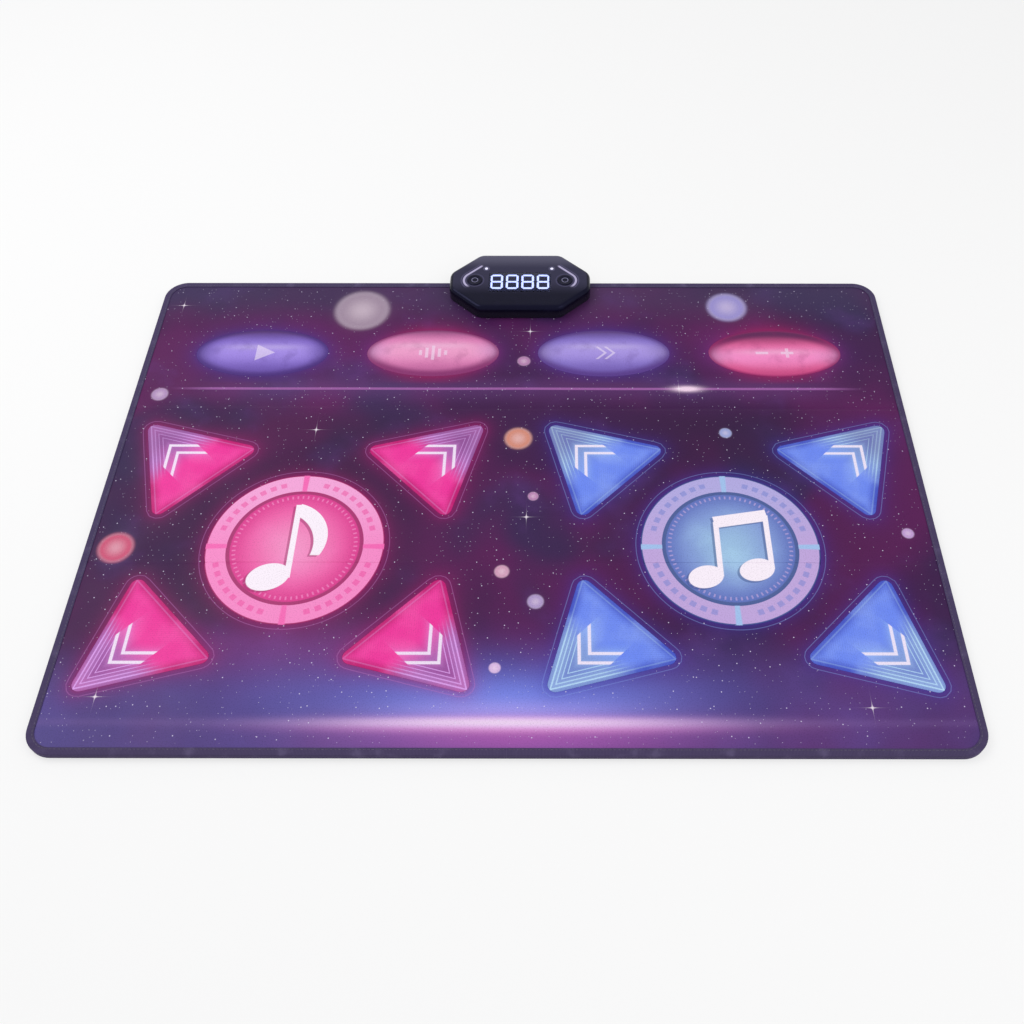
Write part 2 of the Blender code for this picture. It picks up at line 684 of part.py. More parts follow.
def build_mat():
    """All the layers of the three panels. The tape's bottom lip runs on under the control box."""
    pads = pad_openings()
    notch = plinth_notch("plinth_notch", -MAT_TOP)
    tape_notch = plinth_notch("tape_notch", BASE_SHEET_STEP)
    for panel in PANEL_AXES:
        cutters = [notch] if panel == "rear" else []
        build_base_sheet(panel, cutters)
        build_lower_film(panel, cutters)
        build_binding(panel, [tape_notch] if panel == "rear" else [])
        foam = (EDGE_INSET, CREASE_SETBACK)
        film = (FILM_INSET, CREASE_SETBACK)
        build_layer("base_foam", panel, *foam, BASE_FOAM_Z, BASE_FOAM_T, "grey_foam", cutters)
        build_layer("spacer_foam", panel, *foam, SPACER_Z, SPACER_T, "grey_foam", cutters + [pads])
        build_layer("upper_film", panel, *film, UPPER_FILM_Z, FILM_T, "clear_film", cutters + [pads])
        top = (EDGE_INSET, 0.0)
        build_layer("top_sheet", panel, *top, TOP_SHEET_Z, TOP_SHEET_T, "printed_vinyl", cutters + [pads])


def build_top_shell():
    """The octagonal cap: a rolled roof edge, a wall and an inward flange over the plinth."""
    rings = []
    for k in range(ARC_STEPS):
        a = math.radians(90 * (1 - k / (ARC_STEPS - 1)))
        inset, down = BOX_BEVEL_IN * (1 - math.cos(a)), BOX_BEVEL_DOWN * (1 - math.sin(a))
        rings.append((inset, BOX_TOP - down))
    flange = PLINTH_INSET - GAP
    rings += [
        (0.0, CAP_Z), (flange, CAP_Z), (flange, CAP_Z + FLANGE_T), (BOX_WALL, CAP_Z + FLANGE_T),
        (BOX_WALL, BOX_TOP - BOX_BEVEL_DOWN), (BOX_WALL + BOX_BEVEL_IN, CEILING_Z),
    ]
    mesh = bmesh.new()
    add_rings(mesh, [lifted(box_outline(inset), z) for inset, z in rings])
    shell = finish("box_top_shell", mesh, "black_case", smooth=True)
    combine(shell, top_shell_ribs(), "UNION")
    combine(shell, top_shell_recesses(), "DIFFERENCE")
    combine(shell, top_shell_ports(), "DIFFERENCE")


def top_shell_ribs():
    """Screw bosses and the two ribs that press on the tail's clamp bar."""
    mesh = bmesh.new()
    root = CEILING_Z + BOX_WALL / 2
    for place in screw_places():
        add_prism(mesh, circle(place, TOP_BOSS_RADIUS, SMALL_STEPS), TOP_BOSS_Z, root)
    y_range = span(CLAMP_Y + CLAMP_DEPTH / 2, CLAMP_DEPTH * 2 / 3)
    for side in (-1, 1):
        add_box(mesh, span(side * TAIL_WIDTH / 3, CLAMP_RIB), y_range, (CLAMP_TOP + GAP, root))
    return helper("top_shell_ribs", mesh)


def top_shell_recesses():
    """Cutters for the window's seat, the round keys and the screws."""
    mesh = bmesh.new()
    above = BOX_TOP + BOX_WALL
    add_prism(mesh, window_outline(GAP), BOX_TOP - WINDOW_T - GAP, above)
    for side in (-1, 1):
        hole = circle((side * KEY_X, BOX_Y), KEY_RADIUS + GAP, 2 * SMALL_STEPS)
        add_prism(mesh, hole, CEILING_Z - GAP, above)
    for place in screw_places():
        hole = circle(place, SCREW_RADIUS + SCREW_HOLE, SMALL_STEPS)
        add_prism(mesh, hole, TOP_BOSS_Z - GAP, TOP_BOSS_Z + SCREW_BITE)
    return helper("top_shell_recesses", mesh)


def top_shell_ports():
    """Cutters for the opening under the window and the power switch's slot in the back wall."""
    mesh = bmesh.new()
    x_range = span(0.0, WINDOW_LENGTH - 2 * WINDOW_LEDGE)
    y_range = span(WINDOW_Y, WINDOW_DEPTH - 2 * WINDOW_LEDGE)
    add_box(mesh, x_range, y_range, (CEILING_Z - GAP, BOX_TOP + BOX_WALL))
    x_range = span(SWITCH_X, KNOB_LENGTH + SWITCH_TRAVEL + 2 * RUN)
    y_range = span(BOX_BACK_Y - BOX_WALL / 2, 2 * BOX_WALL)
    add_box(mesh, x_range, y_range, span(KNOB_Z, KNOB_HEIGHT + 2 * RUN))
    return helper("top_shell_ports", mesh)


def build_bottom_shell():
    """The plinth tray: battery bay, door rails, board posts, screw bosses, feet and speaker slots."""
    inner = PLINTH_INSET + PLINTH_WALL
    rings = (
        (PLINTH_INSET + PLINTH_EDGE, PLINTH_Z), (PLINTH_INSET, PLINTH_Z + PLINTH_EDGE),
        (PLINTH_INSET, PLINTH_TOP), (inner, PLINTH_TOP), (inner, FLOOR_Z),
    )
    mesh = bmesh.new()
    add_rings(mesh, [lifted(box_outline(inset), z) for inset, z in rings])
    shell = finish("box_bottom_shell", mesh, "black_case", smooth=True)
    combine(shell, bottom_rails(), "UNION")
    combine(shell, bottom_blocks(), "UNION")
    combine(shell, bottom_hollows(), "DIFFERENCE")
    combine(shell, door_slot(), "DIFFERENCE")
    combine(shell, door_grooves(), "DIFFERENCE")


def bottom_rails():
    """The thick floor that the battery door's grooves are cut in."""
    mesh = bmesh.new()
    x_range = (BAY_START - BAY_WALL - RAIL_WIDTH, RAIL_END)
    y_range = (BOX_Y - BAY_HALF - BAY_WALL - RAIL_WIDTH, PLINTH_BACK_Y - PLINTH_WALL / 2)
    add_box(mesh, x_range, y_range, (FLOOR_Z - BITE, DOOR_ROOF + RAIL_ROOF))
    return helper("bottom_rails", mesh)


def bottom_blocks():
    """Everything that stands on the tray's floor, and the feet under it."""
    mesh = bmesh.new()
    root = FLOOR_Z - BITE - GAP
    x_range = (BAY_START - BAY_WALL, BAY_END + BAY_WALL)
    add_box(mesh, x_range, span(BOX_Y, 2 * (BAY_HALF + BAY_WALL)), (root, BAY_TOP + BAY_ROOF))
    for place in screw_places():
        add_prism(mesh, circle(place, BOSS_RADIUS, SMALL_STEPS), root, BOSS_TOP)
    for place in four_ways(POST_X, POST_SPREAD):
        add_prism(mesh, circle(place, POST_RADIUS, SMALL_STEPS // 2), root, BOARD_Z - GAP)
    for place in foot_places():
        add_prism(mesh, circle(place, FOOT_RADIUS, SMALL_STEPS), 0.0, PLINTH_Z + BITE)
    y_range = (PLINTH_FRONT_Y + PLINTH_WALL / 2, PLINTH_FRONT_Y + TAIL_REACH)
    x_range = span(0.0, TAIL_WIDTH + 2 * TAIL_SEAT_MARGIN)
    add_box(mesh, x_range, y_range, (root, LOWER_FILM_Z - GAP))
    return helper("bottom_blocks", mesh)


def bottom_hollows():
    """Cutters for the bay, the film's way in, the speaker slots and the screws."""
    mesh = bmesh.new()
    below = -PLINTH_FLOOR
    add_box(mesh, (BAY_START, BAY_END), span(BOX_Y, 2 * BAY_HALF), (below, BAY_TOP))
    y_range = span(PLINTH_FRONT_Y + PLINTH_WALL / 2, 2 * PLINTH_WALL)
    z_range = (LOWER_FILM_Z - GAP, LOWER_FILM_TOP + GAP)
    add_box(mesh, span(0.0, TAIL_WIDTH + 2 * GAP), y_range, z_range)
    reach = SPEAKER_RADIUS - GRILLE_MARGIN
    for k in range(GRILLE_SLOTS):
        offset = (k - (GRILLE_SLOTS - 1) / 2) * GRILLE_PITCH
        if abs(offset) < reach:
            length = 2 * math.sqrt(reach ** 2 - offset ** 2)
            x_range = span(SPEAKER_X + offset, GRILLE_SLOT)
            add_box(mesh, x_range, span(BOX_Y, length), (below, FLOOR_Z + GAP))
    hole = SCREW_RADIUS + SCREW_HOLE
    head = SCREW_HEAD_RADIUS + SCREW_HOLE
    for place in screw_places():
        profile = ((head, below), (head, SCREW_SEAT_Z), (hole, SCREW_SEAT_Z), (hole, BOSS_TOP + GAP))
        add_turned(mesh, profile, place)
    return helper("bottom_hollows", mesh)


def door_slot():
    """The battery door's way in from the back."""
    mesh = bmesh.new()
    y_range = (BOX_Y - BAY_HALF - BAY_WALL - GAP, PLINTH_BACK_Y + PLINTH_WALL)
    add_box(mesh, (BAY_START - BAY_WALL, BAY_END + BAY_WALL), y_range, (-PLINTH_FLOOR, DOOR_ROOF))
    return helper("door_slot", mesh)


def door_grooves():
    """The grooves that the door's tongues run in."""
    mesh = bmesh.new()
    side = BAY_WALL + DOOR_TONGUE
    y_range = (BOX_Y - BAY_HALF - BAY_WALL - GAP, PLINTH_BACK_Y + PLINTH_WALL)
    z_range = (DOOR_TOP - DOOR_TONGUE_T - GAP, DOOR_ROOF)
    add_box(mesh, (BAY_START - side, BAY_END + side), y_range, z_range)
    return helper("door_grooves", mesh)


def build_door():
    """The battery door: a plate with a tongue along each side, and grip grooves at its back."""
    edge, side = BAY_WALL - RUN, BAY_WALL + DOOR_TONGUE - RUN
    tongue = DOOR_TOP - DOOR_TONGUE_T
    section = (
        (BAY_START - edge, PLINTH_Z), (BAY_END + edge, PLINTH_Z), (BAY_END + edge, tongue),
        (BAY_END + side, tongue), (BAY_END + side, DOOR_TOP), (BAY_START - side, DOOR_TOP),
        (BAY_START - side, tongue), (BAY_START - edge, tongue),
    )
    mesh = bmesh.new()
    ends = (BOX_Y - BAY_HALF - BAY_WALL, PLINTH_BACK_Y)
    add_rings(mesh, [[(x, y, z) for x, z in section] for y in ends])
    door = finish("battery_door", mesh, "black_case")
    carry(door, "rear", ((BAY_START + BAY_END) / 2, PLINTH_BACK_Y, PLINTH_Z))

    mesh = bmesh.new()
    x_range = span((BAY_START + BAY_END) / 2, GRIP_LENGTH)
    for k in range(GRIP_GROOVES):
        y_range = span(PLINTH_BACK_Y - (k + 1.5) * GRIP_PITCH, GRIP_PITCH / 2)
        add_box(mesh, x_range, y_range, (0.0, PLINTH_Z + GRIP_DEPTH))
    combine(door, helper("door_grip", mesh), "DIFFERENCE")


def build_window():
    """The smoked window in its seat, and the display block close under it."""
    mesh = bmesh.new()
    add_prism(mesh, window_outline(0.0), BOX_TOP - WINDOW_T, BOX_TOP)
    finish("display_window", mesh, "smoked_window")
    mesh = bmesh.new()
    z_range = (DISPLAY_Z, DISPLAY_Z + DISPLAY_HEIGHT)
    add_box(mesh, span(0.0, DISPLAY_LENGTH), span(WINDOW_Y, DISPLAY_DEPTH), z_range)
    finish("display_module", mesh, "display_black")


def build_keys():
    """The two round keys, each held under the roof by its flange, with a stem over its switch."""
    stem_low = BOARD_TOP + TACT_HEIGHT + TACT_PLUNGER_RISE + KEY_TRAVEL + GAP
    shoulder = CEILING_Z - GAP
    flange = KEY_RADIUS + KEY_FLANGE
    top = BOX_TOP + KEY_PROUD
    profile = (
        (KEY_STEM_RADIUS, stem_low), (KEY_STEM_RADIUS, shoulder - KEY_FLANGE),
        (flange, shoulder - KEY_FLANGE), (flange, shoulder), (KEY_RADIUS, shoulder),
        (KEY_RADIUS, top - KEY_CROWN), (KEY_RADIUS - KEY_CROWN, top),
    )
    for name, side in (("left_key", -1), ("right_key", 1)):
        place = (side * KEY_X, BOX_Y)
        mesh = bmesh.new()
        add_turned(mesh, profile, place, 2 * SMALL_STEPS)
        key = finish(name, mesh, "key_plastic", smooth=True)
        carry(key, "rear", (*place, top))


def build_board():
    """The circuit board: wings out to the keys, and a tongue back to the power switch."""
    wing_x = KEY_X + BOARD_KEY_MARGIN
    body_x = POST_X + POST_RADIUS
    tongue = span(SWITCH_X, 2 * SWITCH_LENGTH)
    front, back = BOX_Y - BOARD_FRONT, BOX_Y + BOARD_BACK
    low, high = span(BOX_Y, 2 * BOARD_WING)
    rear = BOX_BACK_Y - BOX_WALL - BOARD_EDGE_GAP
    outline = [
        (-wing_x, low), (-body_x, low), (-body_x, front), (body_x, front), (body_x, low),
        (wing_x, low), (wing_x, high), (body_x, high), (body_x, back), (tongue[1], back),
        (tongue[1], rear), (tongue[0], rear), (tongue[0], back), (-body_x, back),
        (-body_x, high), (-wing_x, high),
    ]
    mesh = bmesh.new()
    add_prism(mesh, outline, BOARD_Z, BOARD_TOP)
    board = finish("circuit_board", mesh, "board_green")
    combine(board, soldered_parts(), "UNION")

    mesh = bmesh.new()
    centre = SWITCH_X - SWITCH_TRAVEL / 2
    y_range = (BOX_BACK_Y - BOX_WALL - GAP, BOX_BACK_Y - KNOB_RECESS)
    add_box(mesh, span(centre, KNOB_LENGTH), y_range, span(KNOB_Z, KNOB_HEIGHT))
    knob = finish("power_knob", mesh, "white_plastic")
    carry(knob, "rear", (centre, BOX_BACK_Y - KNOB_RECESS, KNOB_Z))


def soldered_parts():
    """The key switches, the power switch and the ribbon's connector, soldered to the board."""
    mesh = bmesh.new()
    root = BOARD_TOP - BITE
    for side in (-1, 1):
        sizes = ((TACT_SIZE, root), (TACT_SIZE, BOARD_TOP + TACT_HEIGHT))
        rise = BOARD_TOP + TACT_HEIGHT + TACT_PLUNGER_RISE
        sizes += ((2 * TACT_PLUNGER, BOARD_TOP + TACT_HEIGHT), (2 * TACT_PLUNGER, rise))
        x, y = side * KEY_X, BOX_Y
        add_rings(mesh, [lifted(rectangle(*span(x, size), *span(y, size)), z) for size, z in sizes])
    back = BOX_BACK_Y - BOX_WALL - 2 * GAP
    z_range = (root, BOARD_TOP + SWITCH_HEIGHT)
    add_box(mesh, span(SWITCH_X, SWITCH_LENGTH), (back - SWITCH_DEPTH, back), z_range)
    front = BOX_Y - BOARD_FRONT
    x_range = span(RIBBON_X, RIBBON_WIDTH + 2 * SPRING_WIRE)
    z_range = (BOARD_Z - CONNECTOR_HEIGHT, BOARD_Z + BITE)
    add_box(mesh, x_range, (front + GAP, front + CONNECTOR_DEPTH), z_range)
    return helper("soldered_parts", mesh)


def build_tail_fittings():
    """The bar that clamps the film's tail, and the ribbon from the tail up to the board."""
    mesh = bmesh.new()
    x_range = span(0.0, TAIL_WIDTH + 2 * (TAIL_SEAT_MARGIN - GAP))
    add_box(mesh, x_range, (CLAMP_Y, CLAMP_Y + CLAMP_DEPTH), (CLAMP_Z, CLAMP_TOP))
    finish("tail_clamp_bar", mesh, "white_plastic")

    start = PLINTH_FRONT_Y + TAIL_REACH + GAP
    end = BOX_Y - BOARD_FRONT
    low, high = LOWER_FILM_Z, BOARD_Z - CONNECTOR_HEIGHT / 2
    t, straight = RIBBON_T, RIBBON_STRAIGHT
    under = [(start, low), (start + straight, low), (end - straight + t, high), (end, high)]
    over = [(end, high + t), (end - straight, high + t), (start + straight - t, low + t), (start, low + t)]
    mesh = bmesh.new()
    add_rings(mesh, [[(x, y, z) for y, z in under + over] for x in span(RIBBON_X, RIBBON_WIDTH)])
    finish("ribbon_cable", mesh, "clear_film")


def build_speaker():
    """A small loudspeaker that faces the floor slots: cone, rim, basket and magnet in one unit."""
    low = FLOOR_Z + GAP
    top = low + SPEAKER_HEIGHT
    plate = top - SPEAKER_MAGNET_T
    rim = SPEAKER_RADIUS - SPEAKER_RIM
    neck = plate - SPEAKER_RIM
    profile = (
        (SPEAKER_DUST_CAP * 0.5, neck - SPEAKER_RIM * 1.4), (SPEAKER_DUST_CAP, neck - SPEAKER_RIM / 2),
        (rim - SPEAKER_SURROUND, low + SPEAKER_RIM / 2), (rim - SPEAKER_SURROUND / 2, low + GAP),
        (rim, low + SPEAKER_RIM / 2), (rim, low), (SPEAKER_RADIUS, low), (SPEAKER_RADIUS, low + SPEAKER_RIM),
        (SPEAKER_MAGNET_RADIUS * 0.85, plate), (SPEAKER_MAGNET_RADIUS, plate), (SPEAKER_MAGNET_RADIUS, top),
    )
    mesh = bmesh.new()
    add_turned(mesh, profile, (SPEAKER_X, BOX_Y), 2 * SMALL_STEPS)
    finish("speaker", mesh, "speaker_paper", smooth=True)


def cell_lines():
    """Each cell's number, y, the end its spring is at, and the way along X from that end."""
    for k in range(CELL_COUNT):
        y = BOX_Y + (k - (CELL_COUNT - 1) / 2) * CELL_PITCH
        yield (k, y, BAY_START, 1) if k % 2 == 0 else (k, y, BAY_END, -1)


def build_cells():
    """The AA cells lie side by side, turn about."""
    first = GAP + CARD_T + PLATE_T + SPRING_LENGTH + GAP
    last = first + CELL_BODY
    profile = (
        (CELL_RADIUS - CELL_EDGE, first), (CELL_RADIUS, first + CELL_EDGE), (CELL_RADIUS, last - CELL_EDGE),
        (CELL_RADIUS - CELL_EDGE, last), (CELL_NUB_RADIUS, last), (CELL_NUB_RADIUS, last + CELL_NUB),
    )
    for k, y, end, way in cell_lines():
        rings = []
        for radius, along in profile:
            rings.append([(end + way * along, py, pz) for py, pz in circle((y, CELL_Z), radius, SMALL_STEPS)])
        mesh = bmesh.new()
        add_rings(mesh, rings)
        finish(f"aa_cell_{k + 1}", mesh, "cell_jacket", smooth=True)


def build_contact_cards():
    """A fibre card at each end of the bay, with a plate for each cell and a spring for every other."""
    z_range = (DOOR_ROOF + GAP, BAY_TOP - GAP)
    for name, wall, way in (("contact_card_left", BAY_START, 1), ("contact_card_right", BAY_END, -1)):
        face = wall + way * (GAP + CARD_T)
        mesh = bmesh.new()
        add_box(mesh, sorted((wall + way * GAP, face)), span(BOX_Y, 2 * (BAY_HALF - GAP)), z_range)
        card = finish(name, mesh, "bright_metal")
        plates, springs = bmesh.new(), bmesh.new()
        for _, y, end, _ in cell_lines():
            x_range = sorted((face - way * CARD_T / 2, face + way * PLATE_T))
            add_box(plates, x_range, span(y, PLATE_SIZE), span(CELL_Z, PLATE_SIZE))
            if end == wall:
                add_spring(springs, Vector((face + way * PLATE_T, y, CELL_Z)), way)
        combine(card, helper(f"{name}_plates", plates), "UNION")
        combine(card, helper(f"{name}_springs", springs), "UNION")


def add_spring(mesh, start, way):
    """A short coil along X that starts half inside its plate. The wire is square in section."""
    half = SPRING_WIRE / 2
    total = SPRING_TURNS * SPRING_TURN_STEPS
    along = Vector((way, 0.0, 0.0))
    rings = []
    for i in range(total + 1):
        a = 2 * math.pi * i / SPRING_TURN_STEPS
        out = Vector((0.0, math.cos(a), math.sin(a)))
        centre = start + out * (SPRING_RADIUS - half) + along * ((SPRING_LENGTH - half) * i / total)
        corners = ((1, 1), (-1, 1), (-1, -1), (1, -1))
        rings.append([centre + out * u * half + along * v * half for u, v in corners])
    add_rings(mesh, rings)


def build_screws():
    """Four case screws, up through the bottom shell's bosses into the top shell's."""
    low = PLINTH_Z + GAP
    head = low + SCREW_HEAD_T
    tip = TOP_BOSS_Z + SCREW_BITE - GAP
    profile = (
        (SCREW_HEAD_RADIUS - SCREW_HEAD_EDGE, low), (SCREW_HEAD_RADIUS, low + SCREW_HEAD_EDGE),
        (SCREW_HEAD_RADIUS, head), (SCREW_RADIUS, head), (SCREW_RADIUS, tip - SCREW_TIP),
        (SCREW_RADIUS / 2, tip),
    )
    for k, place in enumerate(screw_places()):
        mesh = bmesh.new()
        add_turned(mesh, profile, place)
        finish(f"case_screw_{k + 1}", mesh, "bright_metal", smooth=True)


def main():
    for old in list(bpy.data.objects):
        bpy.data.objects.remove(old)
    build_hinges()
    build_mat()
    build_pads()
    build_top_shell()
    build_bottom_shell()
    build_door()
    build_window()
    build_keys()
    build_board()
    build_tail_fittings()
    build_speaker()
    build_cells()
    build_contact_cards()
    build_screws()


main()
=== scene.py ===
# %% [markdown]
# # Electronic dance mat: its looks
#
# The real thing is a soft floor mat for two players: a printed sheet over thin foam, a dark sewn edge, step
# pads in the print and a black control box on the back edge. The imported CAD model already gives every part
# its place and its size. This lesson loads that model as a fixed frame, lays finer surfaces over the parts
# that show, and gives every part a finish worked out by nodes. All lengths are metres; MM turns millimetres
# into metres.

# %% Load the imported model
import math

import bmesh
import bpy
import numpy as np
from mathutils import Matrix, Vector
from mathutils.geometry import delaunay_2d_cdt


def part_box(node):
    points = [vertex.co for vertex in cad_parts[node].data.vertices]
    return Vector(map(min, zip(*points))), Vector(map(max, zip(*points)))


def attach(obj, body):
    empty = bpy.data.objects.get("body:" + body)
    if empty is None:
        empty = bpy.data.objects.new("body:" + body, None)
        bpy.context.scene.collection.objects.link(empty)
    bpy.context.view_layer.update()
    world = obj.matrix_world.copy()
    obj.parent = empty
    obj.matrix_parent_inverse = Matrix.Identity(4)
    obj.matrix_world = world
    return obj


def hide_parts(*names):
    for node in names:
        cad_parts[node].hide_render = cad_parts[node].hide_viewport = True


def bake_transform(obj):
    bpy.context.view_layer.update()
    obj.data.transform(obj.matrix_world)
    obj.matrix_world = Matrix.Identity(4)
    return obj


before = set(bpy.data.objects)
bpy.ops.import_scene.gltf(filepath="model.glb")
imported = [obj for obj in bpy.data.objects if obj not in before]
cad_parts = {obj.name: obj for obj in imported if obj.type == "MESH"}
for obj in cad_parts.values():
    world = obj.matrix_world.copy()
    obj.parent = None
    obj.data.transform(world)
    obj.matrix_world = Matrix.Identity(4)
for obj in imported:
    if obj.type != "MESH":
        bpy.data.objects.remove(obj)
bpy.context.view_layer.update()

MM = 0.001

# %% [markdown]
# ## The camera
#
# The photograph was taken from above the front edge, looking down at about 54 degrees, and was cropped a
# little off its middle, which a lens shift repeats. A camera can be placed by eye, but the four known corners
# of the mat fix it better: their places in the picture gave the distance, the tilt and the lens used here.

# %% Camera
CAMERA_PLACE = (0.0648, -1.021, 1.3153)
CAMERA_TILT, CAMERA_TURN = 35.61, 0.09
CAMERA_LENS, CAMERA_SHIFT = 36.24, -0.0413

scene = bpy.context.scene
lens = bpy.data.cameras.new("camera")
lens.lens, lens.sensor_width, lens.shift_x = CAMERA_LENS, 36.0, CAMERA_SHIFT
camera = bpy.data.objects.new("camera", lens)
camera.location = CAMERA_PLACE
camera.rotation_euler = (math.radians(CAMERA_TILT), 0.0, math.radians(CAMERA_TURN))
scene.collection.objects.link(camera)
scene.camera = camera
scene.view_settings.view_transform = "Standard"
print("camera", CAMERA_PLACE, "lens", CAMERA_LENS)

# %% [markdown]
# ## Formulas instead of wires
#
# A printed pattern is a formula: how far a point is from a line, and what colour that gives. Blender writes
# formulas as nodes joined by wires, which are hard to read in code. So a small class stands for one number
# that varies over a surface, and its sums and products add the Math nodes.

# %% Fields: numbers that vary over a surface
class Field:
    """One output of a material's nodes. Arithmetic on it adds Math nodes."""

    def __init__(self, socket):
        self.socket = socket

    def __add__(self, other):
        return calculate("ADD", self, other)

    def __sub__(self, other):
        return calculate("SUBTRACT", self, other)

    def __rsub__(self, other):
        return calculate("SUBTRACT", other, self)

    def __mul__(self, other):
        return calculate("MULTIPLY", self, other)

    __radd__, __rmul__ = __add__, __mul__

    def __abs__(self):
        return calculate("ABSOLUTE", self)


def plug(value, entry):
    """Sets an input to a constant, or links it to a field or a socket."""
    source = value.socket if isinstance(value, Field) else value
    if isinstance(source, bpy.types.NodeSocket):
        entry.id_data.links.new(source, entry)
    else:
        entry.default_value = source


def calculate(operation, *values):
    """A Math node's result, as a field."""
    tree = next(value.socket.id_data for value in values if isinstance(value, Field))
    node = tree.nodes.new("ShaderNodeMath")
    node.operation = operation
    for value, entry in zip(values, node.inputs):
        plug(value, entry)
    return Field(node.outputs[0])


def rise(field, start, end):
    """0 before start, 1 after end and a smooth step between; start may be the larger of the two."""
    node = field.socket.id_data.nodes.new("ShaderNodeMapRange")
    node.interpolation_type = "SMOOTHSTEP"
    plug(field, node.inputs["Value"])
    plug(start, node.inputs["From Min"])
    plug(end, node.inputs["From Max"])
    return Field(node.outputs["Result"])


def stripe(field, centre, half):
    """1 where the field is within half of centre, with its outer two fifths soft."""
    return rise(abs(field - centre), half, half * 0.6)


def fade(field, reach):
    """Falls from 1 at a field of 0 towards 0, by a factor of e for each reach."""
    return calculate("EXPONENT", field * (-1 / reach))


def bell(field, centre, width):
    """A bell curve about centre: exp(-((field - centre) / width) squared)."""
    off = (field - centre) * (1 / width)
    return calculate("EXPONENT", off * off * -1.0)


def distance(x, y):
    """The length of (x, y)."""
    return calculate("SQRT", x * x + y * y)


print("fields ready")

# %% [markdown]
# ## Where a pattern gets its place
#
# A print on cloth has to follow the cloth when the mat folds. Each soft piece therefore carries the place
# that each of its points has when the mat lies flat, as an attribute. Hard parts never change shape, so
# their patterns read the Object coordinates.

# %% Places and noise
class Place:
    """x, y and z over a surface, in metres, and the vector they come from."""

    def __init__(self, material, attribute=None):
        tree = material.node_tree
        if attribute:
            node = tree.nodes.new("ShaderNodeAttribute")
            node.attribute_name = attribute
            self.vector = node.outputs["Vector"]
        else:
            self.vector = tree.nodes.new("ShaderNodeTexCoord").outputs["Object"]
        split = tree.nodes.new("ShaderNodeSeparateXYZ")
        plug(self.vector, split.inputs[0])
        self.x, self.y, self.z = (Field(socket) for socket in split.outputs)

    def noise(self, scale, detail=3.0, stretch=None):
        """Noise from 0 to 1, mostly near 0.5, with about `scale` lumps to the metre."""
        tree, source = self.vector.id_data, self.vector
        if stretch:
            pull = tree.nodes.new("ShaderNodeMapping")
            pull.inputs["Scale"].default_value = stretch
            plug(source, pull.inputs["Vector"])
            source = pull.outputs[0]
        node = tree.nodes.new("ShaderNodeTexNoise")
        node.inputs["Scale"].default_value = scale
        node.inputs["Detail"].default_value = detail
        plug(source, node.inputs["Vector"])
        return Field(node.outputs[0])

    def cells(self, scale):
        """Distance from the nearest of scattered points, and a chance from 0 to 1 for each point."""
        node = self.vector.id_data.nodes.new("ShaderNodeTexVoronoi")
        node.voronoi_dimensions = "2D"
        node.inputs["Scale"].default_value = scale
        plug(self.vector, node.inputs["Vector"])
        return Field(node.outputs["Distance"]), Field(node.outputs["Color"])


print("places and noise ready")

# %% [markdown]
# ## Colours
#
# A print is built up as a printer lays inks: a ground colour, and then others over it, each as strong as a
# field says. A colour ramp could mix them too, but here each ink keeps a shape of its own. The colours are
# written as a screen shows them and made linear here, which Blender expects.

# %% Colours and surfaces
def ink(code):
    """A colour written as #rrggbb, made linear, as Blender's colour sockets want it."""
    share = np.array([int(code[i:i + 2], 16) for i in (1, 3, 5)]) / 255
    return (*np.where(share < 0.04, share / 12.92, ((share + 0.055) / 1.055) ** 2.4), 1.0)


class Paint:
    """Colours laid one over another by Mix nodes, the way inks are printed."""

    def __init__(self, material, ground):
        self.tree, self.colour = material.node_tree, ink(ground)

    def over(self, code, amount):
        """Lays the colour `code` over what is there, as strongly as `amount` says, from 0 to 1."""
        node = self.tree.nodes.new("ShaderNodeMix")
        node.data_type = "RGBA"
        plug(amount, node.inputs[0])
        plug(self.colour, node.inputs[6])
        plug(ink(code), node.inputs[7])
        self.colour = node.outputs[2]


def new_surface(name, roughness, **constants):
    """A Principled surface with its constants set on the shader's own sockets."""
    material = bpy.data.materials.new(name)
    material.use_nodes = True
    shader = material.node_tree.nodes["Principled BSDF"]
    shader.inputs["Roughness"].default_value = roughness
    for key, value in constants.items():
        shader.inputs[key.replace("_", " ")].default_value = value
    return material


def apply_paint(material, paint, roughness=None, height=None, depth=0.1 * MM):
    """Links a paint, a roughness and a height to the shader. Depth is how far a height of 1 stands up."""
    tree = material.node_tree
    shader = tree.nodes["Principled BSDF"]
    plug(paint.colour, shader.inputs["Base Color"])
    if roughness:
        plug(roughness, shader.inputs["Roughness"])
    if height:
        bump = tree.nodes.new("ShaderNodeBump")
        bump.inputs["Distance"].default_value = depth
        plug(height, bump.inputs["Height"])
        plug(bump.outputs[0], shader.inputs["Normal"])
    return material


print("colours and surfaces ready")

# %% [markdown]
# ## Floor and light
#
# The photograph is a cut-out on white with hardly any shadow. The floor is pale and adds some white where
# the camera sees it, directly or in a gloss, so the mat's own shadow stays. Seen from below the floor is
# clear, which lets the underside be looked at. The world gives a little over half of the light and two broad
# lamps the rest, so that a colour renders about as it is written.

# %% Floor
FLOOR_HALF, FLOOR_Z = 9.0, -0.2 * MM
FLOOR_WHITE = 0.62


def seen_share(tree):
    """1 for a ray from the camera and for one that a gloss or a clear surface sends on, otherwise 0."""
    rays = tree.nodes.new("ShaderNodeLightPath")
    seen = Field(rays.outputs["Is Camera Ray"]) + Field(rays.outputs["Is Glossy Ray"])
    return calculate("MINIMUM", seen + Field(rays.outputs["Is Transmission Ray"]), 1.0)


